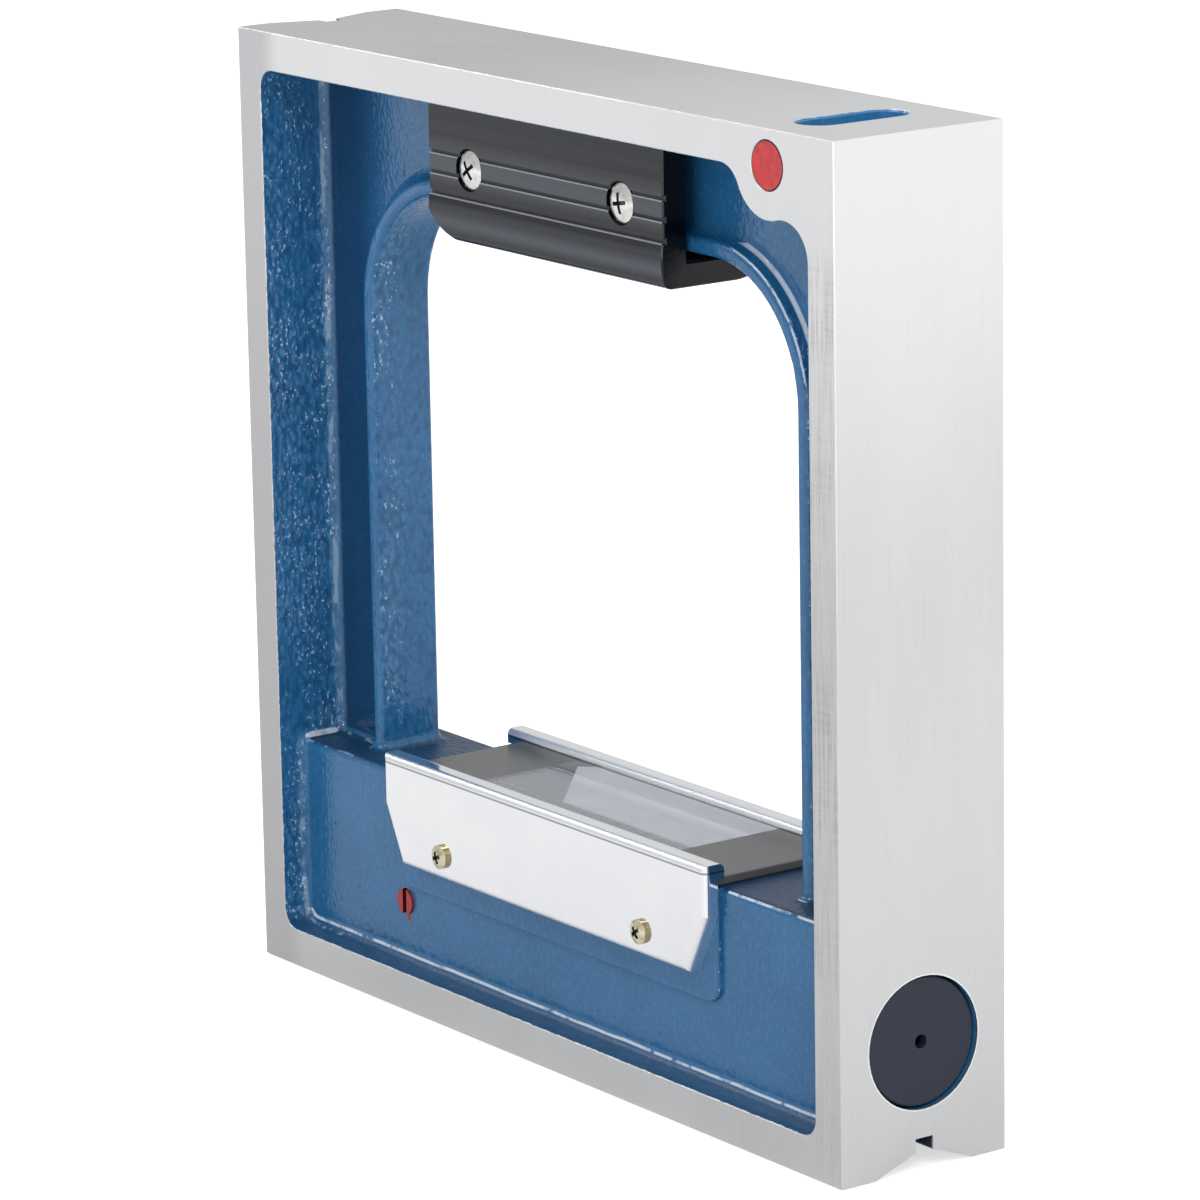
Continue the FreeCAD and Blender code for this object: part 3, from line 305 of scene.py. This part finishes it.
# %% Where the casting is ground
HALF_SIDE = 100 * MM
HALF_DEPTH = 20 * MM
SKIN = 0.15 * MM
BROKEN_EDGE = 0.7 * MM
VEE_HALF = 11.9 * MM
VEE_ROOT = 3.7 * MM
MOUTH_EDGE = 0.5 * MM
UNEVEN = 0.4 * MM
casting, casting_shader = finish("enamelled and ground iron")
place = place_on(casting_shader)
x, y, z = axes(place)
side_x = abs(x)
side_y = abs(y)
side_z = abs(z - HALF_SIDE)
wobble = (noise(place, 700, 3.0) - 0.5) * UNEVEN
in_vee = side_y < VEE_HALF
base_vee = in_vee * (z < VEE_ROOT)
left_vee = in_vee * (x < VEE_ROOT - HALF_SIDE)
outer_edge = (side_y > HALF_DEPTH - BROKEN_EDGE) * (either(side_x, side_z) > HALF_SIDE - BROKEN_EDGE)
cap_mouth = (x > HALF_SIDE - MOUTH_EDGE) * (z < HALF_SIDE / 2)
ground = either(base_vee, left_vee, outer_edge, cap_mouth)
for side, plane in ((side_x, HALF_SIDE), (side_y, HALF_DEPTH), (side_z, HALF_SIDE)):
    ground = either(ground, side + wobble > plane - SKIN)
print("ground and painted parts told apart by", len(casting.node_tree.nodes), "nodes")

# %% [markdown]
# The enamel is thick and glossy. On the web and the block it is smooth, with a fine orange
# peel, a few runs and specks. On the sides of the left wall and of the window it follows the
# sand of the mould, in pebbles about a millimetre wide that stretch a little downwards, where
# the paint ran. Deeper in the window they fade. The top of the block is wrinkled.

# %% Relief of the enamel
BESIDE_WINDOW = -75 * MM
BLOCK_TOP = 48.2 * MM
facing_x, facing_y, facing_z = axes(facing_of(casting_shader))
faces_side = abs(facing_x)
faces_front = abs(facing_y)
faces_up = abs(facing_z)
tree = casting.node_tree
warp = node(tree, "TexNoise", {"Vector": place, "Scale": 260, "Detail": 1.0}).outputs["Color"]
shift = node(tree, "VectorMath", {0: warp, "Scale": 1.2 * MM}, operation="SCALE").outputs[0]
warped = Field(node(tree, "VectorMath", {0: place, 1: shift}, operation="ADD").outputs[0])
pebble_edges = cell_distance(stretched(warped, (1, 1, 0.62)), 900, feature="SMOOTH_F1")
patches = noise(stretched(place, (1, 1, 0.5)), 55).between(0.25, 0.58)
deep_in_window = (x > BESIDE_WINDOW) * y.between(-5 * MM, 2 * MM)
patches = patches * (deep_in_window * -0.75 + 1.0)
walls = faces_side.between(0.35, 0.85)
rough_cast = pebble_edges.inverse() * patches * walls
block_top = facing_z.between(0.5, 0.9) * z.near(BLOCK_TOP, 2.0 * MM)
wrinkles = noise(stretched(place, (1, 1.6, 1)), 420, 3.0) * block_top
sags = noise(stretched(place, (1, 1, 0.4)), 130)
orange_peel = noise(stretched(place, (1, 1, 0.7)), 1000)
specks = cell_distance(place, 210).between(0.03, 0.16).inverse()
paint_height = rough_cast * 0.62 + sags * 0.20 + orange_peel * 0.22 + specks * 0.12 + wrinkles * 0.6
print("enamel with pebbles, sags, orange peel, specks and wrinkles")

# %% [markdown]
# Painted shade makes the blue deep on the web by the left wall and between the pebbles, and
# painted highlights pale it on their crests and on the bumps of the orange peel. The top of the
# block and the bottom wall, which face the dim inside of the frame, are darker with painted shade.

# %% Colour of the enamel
DEEP_BLUE = (0.015, 0.119, 0.275, 1)
FULL_BLUE = (0.022, 0.143, 0.322, 1)
PEEL_HIGHLIGHT_BLUE = (0.055, 0.21, 0.42, 1)
CORNER_SHADE_BLUE = (0.004, 0.036, 0.105, 1)
CREST_HIGHLIGHT_BLUE = (0.085, 0.235, 0.42, 1)
HOLLOW_SHADE_BLUE = (0.008, 0.055, 0.14, 1)
SHADY_BLUE = (0.006, 0.032, 0.080, 1)
BOTTOM_WALL = 12 * MM
blue = blend(noise(place, 45, 3.0).between(0.3, 0.7), DEEP_BLUE, FULL_BLUE)
# painted highlight on the bumps of the orange peel
blue = blend(orange_peel.between(0.48, 0.68) * 0.30, blue, PEEL_HIGHLIGHT_BLUE)
on_web = faces_front.between(0.8, 0.95) * (side_y < 5 * MM)
# painted shade on the web by the left wall
blue = blend(on_web * x.between(-66 * MM, -82 * MM) * 0.85, blue, CORNER_SHADE_BLUE)
# painted highlight on the crests of the pebbles
blue = blend(rough_cast.between(0.45, 0.85) * 0.5, blue, CREST_HIGHLIGHT_BLUE)
# painted shade between the pebbles
blue = blend(walls * pebble_edges.between(0.35, 0.75) * 0.5, blue, HOLLOW_SHADE_BLUE)
low_wall = facing_z.between(0.3, 0.8) * (z < BOTTOM_WALL)
# painted shade on the top of the block and on the bottom wall
shady = either(block_top, low_wall * 0.72)
blue = blend(shady * 0.85, blue, SHADY_BLUE)
print("blues from", DEEP_BLUE[:3], "to", FULL_BLUE[:3])

# %% [markdown]
# Pale streaks at the foot of the left wall are dust and a painted highlight. Where two painted
# faces meet, a painted highlight draws a pale, broken line that sways a little: above the bottom
# wall, at the block's corners, and round the rim of the window at the upper right.

# %% Dust and painted highlight lines
DUST_AND_HIGHLIGHT = (0.24, 0.36, 0.50, 1)
PAINTED_HIGHLIGHT = (0.66, 0.75, 0.86, 1)
LEFT_FOOT = -74 * MM
TURNED = 0.15
swaying = (noise(stretched(place, (1, 1, 0.5)), 160, 3.0) - 0.5) * 0.5 + faces_front
foot = swaying.between(0.36, 0.48) * swaying.between(0.78, 0.66) * (x < LEFT_FOOT)
streaks = noise(stretched(place, (1, 1, 0.3)), 420, 4.0, 0.6).between(0.49, 0.58)
# pale streaks at the foot of the left wall: dust and a painted highlight
blue = blend(foot * streaks * 0.7, blue, DUST_AND_HIGHLIGHT)
bending = (noise(place, 90) - 0.5) * 0.10 + faces_front
upper_side = facing_z > TURNED
foot_line = bending.between(0.83, 0.88) * bending.between(0.97, 0.93) * (z < BOTTOM_WALL) * upper_side
fold = faces_front.between(0.52, 0.6) * faces_front.between(0.86, 0.78) * upper_side
right_block_edge = z.near(47.4 * MM, 1.4 * MM) * (x > 57 * MM)
window_arc = (z > 135 * MM) * (x > 38 * MM) * (facing_x > TURNED)
left_block_corner = (x < -72 * MM) * (z > 46 * MM) * (z < 54 * MM)
corner_line = (facing_x * facing_z).between(0.40, 0.46) * left_block_corner
# painted highlight lines along the fillets and rounded edges
highlighted = either(foot_line, corner_line, fold * either(right_block_edge, window_arc))
broken = noise(place, 260, 4.0, 0.6).between(0.30, 0.50)
blue = blend(highlighted * broken * 0.9, blue, PAINTED_HIGHLIGHT)
print("dust and chalky lines over the enamel")

# %% [markdown]
# Small painted glints sit on the pebbles. Painted light makes the slot in the top a brighter
# blue, while painted shade makes the roots of the vees nearly black. A drop of red locking paint
# ran down below each pivot screw.

# %% Painted glints, slot light, root shade and red runs
GLINT = (0.50, 0.62, 0.75, 1)
LIT_SLOT_BLUE = (0.045, 0.24, 0.52, 1)
ROOT_SHADE_BLACK = (0.003, 0.008, 0.018, 1)
RUN_RED = (0.25, 0.01, 0.015, 1)
TOP_SLOT = 192.5 * MM
ROOT_SLOT_HALF = 4.0 * MM
ROOT_SLOT_DEPTH = 8 * MM
RUN_PLACE = (-53.4 * MM, 17.5 * MM)
RUN_REACH = 0.75 * MM
# painted glints on the pebbles
glints = noise(stretched(place, (1, 0.7, 0.5)), 2000, 1.0).between(0.61, 0.67)
glints = glints * noise(place, 140).between(0.40, 0.56) * walls * rough_cast.between(0.25, 0.5)
blue = blend(glints * 0.75, blue, GLINT)
# painted light in the top slot
blue = blend((z > TOP_SLOT) * 0.8, blue, LIT_SLOT_BLUE)
# painted shade in the roots of the vees
low_or_left = z.maths("MINIMUM", x + HALF_SIDE)
root_slots = (side_y < ROOT_SLOT_HALF) * (low_or_left < ROOT_SLOT_DEPTH)
blue = blend(root_slots * 0.9, blue, ROOT_SHADE_BLACK)
from_run = either(abs(x - RUN_PLACE[0]), abs(z - RUN_PLACE[1]) * 0.9)
red_run = (from_run + wobble < RUN_REACH) * (side_y > 13 * MM)
blue = blend(red_run, blue, RUN_RED)
print("glints, slots and runs over the enamel")

# %% [markdown]
# The ground faces carry the fine lines of the wheel: upright on the front and the sides, along
# the level on the top, which is paler towards its right end. Painted reflections make the iron
# brighter towards the top and low on the right face, and painted shade makes it duller on the left
# border.

# %% Ground iron
IRON_DULL = (0.63, 0.626, 0.62, 1)
IRON_BRIGHT = (0.68, 0.677, 0.672, 1)
LINE_GREY = (0.47, 0.462, 0.45, 1)
BORDER_SHADE_GREY = (0.50, 0.493, 0.51, 1)
upright = noise(stretched(place, (2100, 2300, 40)), 1.0, 3.0, 0.6)
lengthwise = noise(stretched(place, (18, 2300, 22)), 1.0, 3.0, 0.6)
lines = mixed(faces_up.between(0.4, 0.6), upright, lengthwise)
cloud = noise(stretched(place, (30, 40, 12)), 1.0, 4.0).between(0.25, 0.75)
iron = blend(cloud, IRON_DULL, IRON_BRIGHT)
line_share = lines.between(0.46, 0.74) * 0.15 + noise(place, 2400).between(0.4, 0.7) * 0.16
iron = blend(line_share, iron, LINE_GREY)
paler_to_right = facing_z.between(0.8, 0.95) * x.between(-40 * MM, 98 * MM)
iron = blend(paler_to_right * 0.66, iron, (0.92, 0.92, 0.925, 1))
# painted reflection: the sides brighter towards the top
upper = z.between(95 * MM, 200 * MM) * faces_up.inverse()
iron = blend(upper * 0.66, iron, (0.86, 0.86, 0.875, 1))
on_right = facing_x.between(0.8, 0.95)
# painted reflection: the right face brighter low down
low_right = on_right * z.between(150 * MM, 50 * MM)
iron = blend(low_right * 0.32, iron, (0.86, 0.86, 0.87, 1))
print("ground iron with", len(casting.node_tree.nodes), "nodes so far")

# %% [markdown]
# A painted highlight draws a bright ring where the mouth of the cap was broken, and painted shade
# dulls the left border of the front face. On the right border of the front face a scraper left
# faint crossed marks.

# %% Marks, a painted highlight and painted shade on the iron
MOUTH_HIGHLIGHT_RADIUS = 13.45 * MM
BORE_HEIGHT = 25.2 * MM
mouth_z = z - BORE_HEIGHT
# painted highlight: a bright ring round the cap's mouth
mouth_highlight = on_right * (y * y + mouth_z * mouth_z < MOUTH_HIGHLIGHT_RADIUS ** 2)
iron = blend(mouth_highlight * 0.9, iron, (0.98, 0.98, 0.98, 1))
# painted shade: a duller left border
left_border_shade = x.between(-84 * MM, -92 * MM) * faces_front.between(0.6, 0.8)
iron = blend(left_border_shade * 0.7, iron, BORDER_SHADE_GREY)
down_marks = noise(stretched(place, (1500, 1500, 50)), 1.0).between(0.42, 0.62)
across_marks = noise(stretched(place, (110, 110, 1300)), 1.0).between(0.38, 0.62)
right_border = x.between(90.5 * MM, 93.0 * MM) * faces_front.between(0.8, 0.95)
scraped = right_border * z.between(182 * MM, 172 * MM) * noise(place, 40).between(0.25, 0.65)
scraped = (across_marks * 0.5 + 0.5) * down_marks * scraped
iron = blend(scraped * 0.5, iron, (0.33, 0.33, 0.33, 1))
print("a ring round the mouth and crossed marks on the right border")

# %% Casting finish
paint_roughness = shady * 0.33 + 0.07
iron_roughness = lines * 0.14 + 0.34
drive(casting_shader, Base_Color=blend(ground, blue, iron), Metallic=ground,
      Roughness=mixed(ground, paint_roughness, iron_roughness))
grain(casting_shader, mixed(ground, paint_height, lines * 0.03), 0.75, 0.8 * MM)
wear(casting, "frame_casting")

# %% [markdown]
# ## The grip
# The grip is a black extruded channel. Its skin is glossy, with drawing lines and faint paler
# bands along its length, and its cut ends are black. Two bands of painted sheen pale its face.
# The grooves are darkened with painted shade, and the lower lip of each carries a painted
# highlight, a thin bright line.

# %% Grip finish
GROOVES = (172.7 * MM, 176.85 * MM, 181.0 * MM)
GROOVE_HALF = 0.38 * MM
LIP_DROP = 0.52 * MM
LIP_HALF = 0.13 * MM
PAINTED_SHEENS = ((167.0 * MM, 2.8 * MM), (179.0 * MM, 6.5 * MM))
grip_black, shader = finish("black glossy grip", IOR=1.36)
place = place_on(shader)
x, y, z = axes(place)
drawn = noise(stretched(place, (6, 1500, 1500)), 1.0, 3.0)
bands = noise(stretched(place, (3, 60, 330)), 1.0, 4.0, 0.6).between(0.38, 0.66)
skin = blend(bands, (0.004, 0.005, 0.007, 1), (0.020, 0.023, 0.029, 1))
off_ends = abs(axes(facing_of(shader))[0]).between(0.8, 0.5)
# painted sheen in two pale bands across the face
painted_sheen = sum(abs(z - middle).between(reach, 0.0) for middle, reach in PAINTED_SHEENS)
skin = blend(painted_sheen * 0.46 * off_ends, skin, (0.125, 0.137, 0.165, 1))
# painted shade in the grooves
skin = blend(sum(z.near(groove, GROOVE_HALF) for groove in GROOVES), skin, (0.002, 0.002, 0.003, 1))
# painted highlight on the lower lip of each groove
lip_highlights = sum(z.near(groove - LIP_DROP, LIP_HALF) for groove in GROOVES)
skin = blend(lip_highlights * 0.6 * off_ends, skin, (0.42, 0.44, 0.48, 1))
skin = blend(off_ends, (0.001, 0.001, 0.002, 1), skin)
drive(shader, Base_Color=skin, Roughness=drawn * 0.12 + bands * 0.08 + 0.08)
grain(shader, drawn, 0.14, 0.1 * MM)
wear(grip_black, "grip")

# %% [markdown]
# ## Chromed covers
# The covers are folded sheet with a mirror finish. They hardly have a colour of their own and
# show the white room, with a very slight waviness of the sheet. Along the upper bend a painted
# reflection draws a dark line. The bends are a little rougher than the faces, and the outer
# edges of the end flanges are rubbed.

# %% Cover finish
BEND_LINE = 51.6 * MM
RUBBED_FROM = 17.8 * MM
chrome, shader = finish("mirror chrome", Metallic=1.0)
place = place_on(shader)
x, y, z = axes(place)
facing_x, facing_y, facing_z = axes(facing_of(shader))
metal = blend(noise(place, 90, 3.0).between(0.3, 0.7), (0.955, 0.96, 0.97, 1), (0.985, 0.988, 0.99, 1))
# painted reflection: a dark line along the upper bend
dark_bend_reflection = abs(z - BEND_LINE).between(0.32 * MM, 0.05 * MM)
metal = blend(dark_bend_reflection * 0.8, metal, (0.16, 0.17, 0.20, 1))
bent = abs(facing_z).between(0.05, 0.2) * abs(facing_z).between(0.995, 0.97)
rubbed = abs(facing_x).between(0.5, 0.9) * (abs(y) > RUBBED_FROM)
tarnish = noise(place, 300, 3.0) * 0.08 + 0.05
drive(shader, Base_Color=metal, Roughness=tarnish + bent * 0.28 + rubbed * 0.5)
grain(shader, noise(place, 60, 1.0), 0.02, 0.4 * MM)
wear(chrome, "front_cover", "rear_cover")

# %% [markdown]
# ## Screws
# The grip screws are bright nickel, the small cover screws have a pale brassy plating. The
# driving cross is darkened with painted shade: everything near the axis of a screw that lies below
# the curved face of its head. The rim of the head is darkened with painted shade too.

# %% Screw finishes
CROSS_SHADE = (0.03, 0.03, 0.03, 1)
BELOW_FACE = 0.04 * MM


def plated(name, light, dark, axis, cross_radius, crown, dome, rim):
    """Crown and rim are measured from the middle plane, and dome is the radius of the face."""
    made, shader = finish(name)
    place = place_on(shader)
    x, y, z = axes(place)
    off_x = abs(x) - axis[0]
    off_z = z - axis[1]
    squares = off_x * off_x + off_z * off_z
    head_face = squares * (-0.5 / dome) + (crown - BELOW_FACE)
    # painted shade in the driving cross
    cross = (squares < cross_radius ** 2) * (abs(y) < head_face)
    spots = noise(place, 900, 3.0).between(0.40, 0.75)
    metal = blend(spots * 0.5, light, dark)
    # painted shade on the rim of the head
    metal = blend((abs(y) < rim) * 0.85, metal, dark)
    drive(shader, Base_Color=blend(cross, metal, CROSS_SHADE), Metallic=cross.inverse(),
          Roughness=noise(place, 900) * 0.14 + 0.20)
    grain(shader, noise(place, 1500), 0.05, 0.05 * MM)
    return made


nickel = plated("bright nickel", (0.84, 0.83, 0.81, 1), (0.45, 0.44, 0.42, 1),
                axis=(25.5 * MM, 178.4 * MM), cross_radius=2.3 * MM, crown=14.4 * MM, dome=8.9 * MM,
                rim=13.45 * MM)
brassy = plated("pale brass plating", (0.84, 0.77, 0.55, 1), (0.28, 0.23, 0.12, 1),
                axis=(34.5 * MM, 35.5 * MM), cross_radius=1.45 * MM, crown=19.9 * MM, dome=4.3 * MM,
                rim=19.05 * MM)
wear(nickel, "grip_screws")
wear(brassy, "cover_screws")

# %% [markdown]
# ## The glass plate
# The plate is clear in the middle and printed dark grey at each end. The print is left bare.
# Over the clear part lies a thin grey layer of painted shade, with painted light over a slanted
# area on the right and a dotted painted highlight along the front. One material mixes the clear
# glass, this painted layer and the print by their places.

# %% Glass finish
PRINT_FROM = 34 * MM
SLANT = 1.11
SLANT_FROM = -15.4 * MM
DOTTED_LINE = -5.6 * MM
glass, shader = finish("clear plate with printed ends", Base_Color=(0.95, 0.97, 0.98, 1), Roughness=0.02,
                       IOR=1.5, Transmission_Weight=1.0)
tree = glass.node_tree
place = place_on(shader)
x, y, z = axes(place)
# painted light: a slanted pale patch, paler still towards the far side
lit_patch = (y * SLANT + x > SLANT_FROM) * (y > -5.0 * MM)
far_lit_patch = lit_patch * y.between(4.5 * MM, 9.0 * MM)
dots = noise(stretched(place, (1, 0.4, 1)), 1300).between(0.50, 0.62)
# painted highlight: a dotted bright line along the front
dotted_highlight = y.near(DOTTED_LINE, 0.5 * MM) * dots
cloudy = noise(place, 150, 3.0) * 0.12 + 0.24
# grey painted shade outside the lit patch and pale painted light inside it
painted_light_share = either(cloudy + lit_patch * 0.10 + far_lit_patch * 0.24, dotted_highlight * 0.8)
light_and_shade_colour = blend(lit_patch, (0.40, 0.43, 0.48, 1), (0.84, 0.87, 0.92, 1))
light_and_shade = node(tree, "BsdfPrincipled", {"Base Color": light_and_shade_colour, "Roughness": 0.25})
clear_part = node(tree, "MixShader", {0: painted_light_share, 1: shader.outputs[0], 2: light_and_shade.outputs[0]})
ink = node(tree, "BsdfPrincipled", {"Base Color": (0.115, 0.112, 0.11, 1),
                                    "Roughness": noise(place, 1500) * 0.2 + 0.25})
plate = node(tree, "MixShader", {0: abs(x) > PRINT_FROM, 1: clear_part.outputs[0], 2: ink.outputs[0]})
plug(plate.outputs[0], tree.nodes["Material Output"].inputs["Surface"])
wear(glass, "window_glass")

# %% [markdown]
# ## Dark cap and seal
# The cap is moulded in charcoal plastic with a satin skin. The seal under the glass is black
# rubber under the printed ends and pale under the clear middle.

# %% Cap and seal finishes
charcoal, shader = finish("charcoal plastic", Base_Color=(0.018, 0.025, 0.042, 1), IOR=1.4)
skin = noise(place_on(shader), 1100, 3.0)
drive(shader, Roughness=skin * 0.22 + 0.26)
grain(shader, skin, 0.15, 0.08 * MM)
wear(charcoal, "bore_cap")
rubber, shader = finish("two-tone rubber", Roughness=0.7)
place = place_on(shader)
pale = abs(axes(place)[0]) < PRINT_FROM
drive(shader, Base_Color=blend(pale, (0.012, 0.012, 0.014, 1), (0.62, 0.63, 0.65, 1)))
grain(shader, noise(place, 1500), 0.3, 0.1 * MM)
wear(rubber, "window_gasket")

# %% [markdown]
# ## Red seals
# The ends of the cross vial are sealed with red compound that was filled in soft and has a
# slightly dimpled face and a dark border. The pivot screws are locked with a brush of thin red
# paint, and their slots are darkened with painted shade.

# %% Red finishes
SEAL_AXIS = (80.1 * MM, 193.1 * MM)
SEAL_FACE = 4.5 * MM
SLOT_X = 54.2 * MM
SLOT_HALF = 0.66 * MM
SLOT_TOP = 14.5 * MM
DARK_RED = (0.02, 0.004, 0.005, 1)


def seal_border(side_x, side_y, z):
    off_x = side_x - SEAL_AXIS[0]
    off_z = z - SEAL_AXIS[1]
    return off_x * off_x + off_z * off_z > SEAL_FACE ** 2


# painted shade in the slot of each pivot screw
def shaded_screw_slot(side_x, side_y, z):
    return side_x.near(SLOT_X, SLOT_HALF) * (side_y < SLOT_TOP)


def red(name, colour, roughness, dimple, dark_part):
    made, shader = finish(name, Roughness=roughness)
    place = place_on(shader)
    x, y, z = axes(place)
    deep = [part * 0.7 for part in colour[:3]] + [1]
    shade = blend(noise(place, 500, 3.0).between(0.3, 0.75), deep, colour)
    drive(shader, Base_Color=blend(dark_part(abs(x), abs(y), z) * 0.85, shade, DARK_RED))
    grain(shader, noise(place, 420, 3.0), dimple, 0.3 * MM)
    return made


wear(red("red seal", (0.66, 0.028, 0.036, 1), 0.38, 0.35, seal_border), "cross_vial_seals")
wear(red("red locking paint", (0.40, 0.012, 0.014, 1), 0.2, 0.5, shaded_screw_slot), "pivot_screws")

# %% [markdown]
# ## Inside the bore
# The carrier bar and the adjuster are turned steel, the bush and the vial holders brass, and
# the vials are clear glass tubes with a yellow-green spirit and an air bubble.

# %% Inner finishes
def turned(name, colour, roughness):
    made, shader = finish(name, Base_Color=colour, Metallic=1.0)
    marks = noise(stretched(place_on(shader), (2200, 60, 60)), 1.0)
    drive(shader, Roughness=marks * 0.15 + roughness)
    grain(shader, marks, 0.1, 0.05 * MM)
    return made


def clear(name, colour, ior):
    made, shader = finish(name, Roughness=0.03, IOR=ior, Transmission_Weight=1.0)
    tint = noise(place_on(shader), 120).between(0.2, 0.8)
    pale = [0.5 + part / 2 for part in colour[:3]] + [1]
    drive(shader, Base_Color=blend(tint, colour, pale))
    return made


wear(turned("turned steel", (0.55, 0.56, 0.58, 1), 0.25), "carrier_bar", "adjuster_spindle",
     "adjuster_washer", "adjuster_clip")
wear(turned("turned brass", (0.68, 0.52, 0.25, 1), 0.25), "adjuster_bush", "vial_holders")
wear(clear("vial glass", (0.95, 0.98, 0.97, 1), 1.5), "main_vial_glass", "cross_vial_glass")
wear(clear("spirit", (0.75, 0.9, 0.35, 1), 1.36), "main_vial_spirit", "cross_vial_spirit")
wear(clear("bubble", (0.98, 0.99, 1.0, 1), 1.0), "main_vial_bubble", "cross_vial_bubble")
cement, shader = finish("pale cement", Base_Color=(0.78, 0.77, 0.73, 1), Roughness=0.7)
grain(shader, noise(place_on(shader), 800, 4.0), 0.4, 0.1 * MM)
wear(cement, "main_vial_plugs", "cross_vial_plugs")
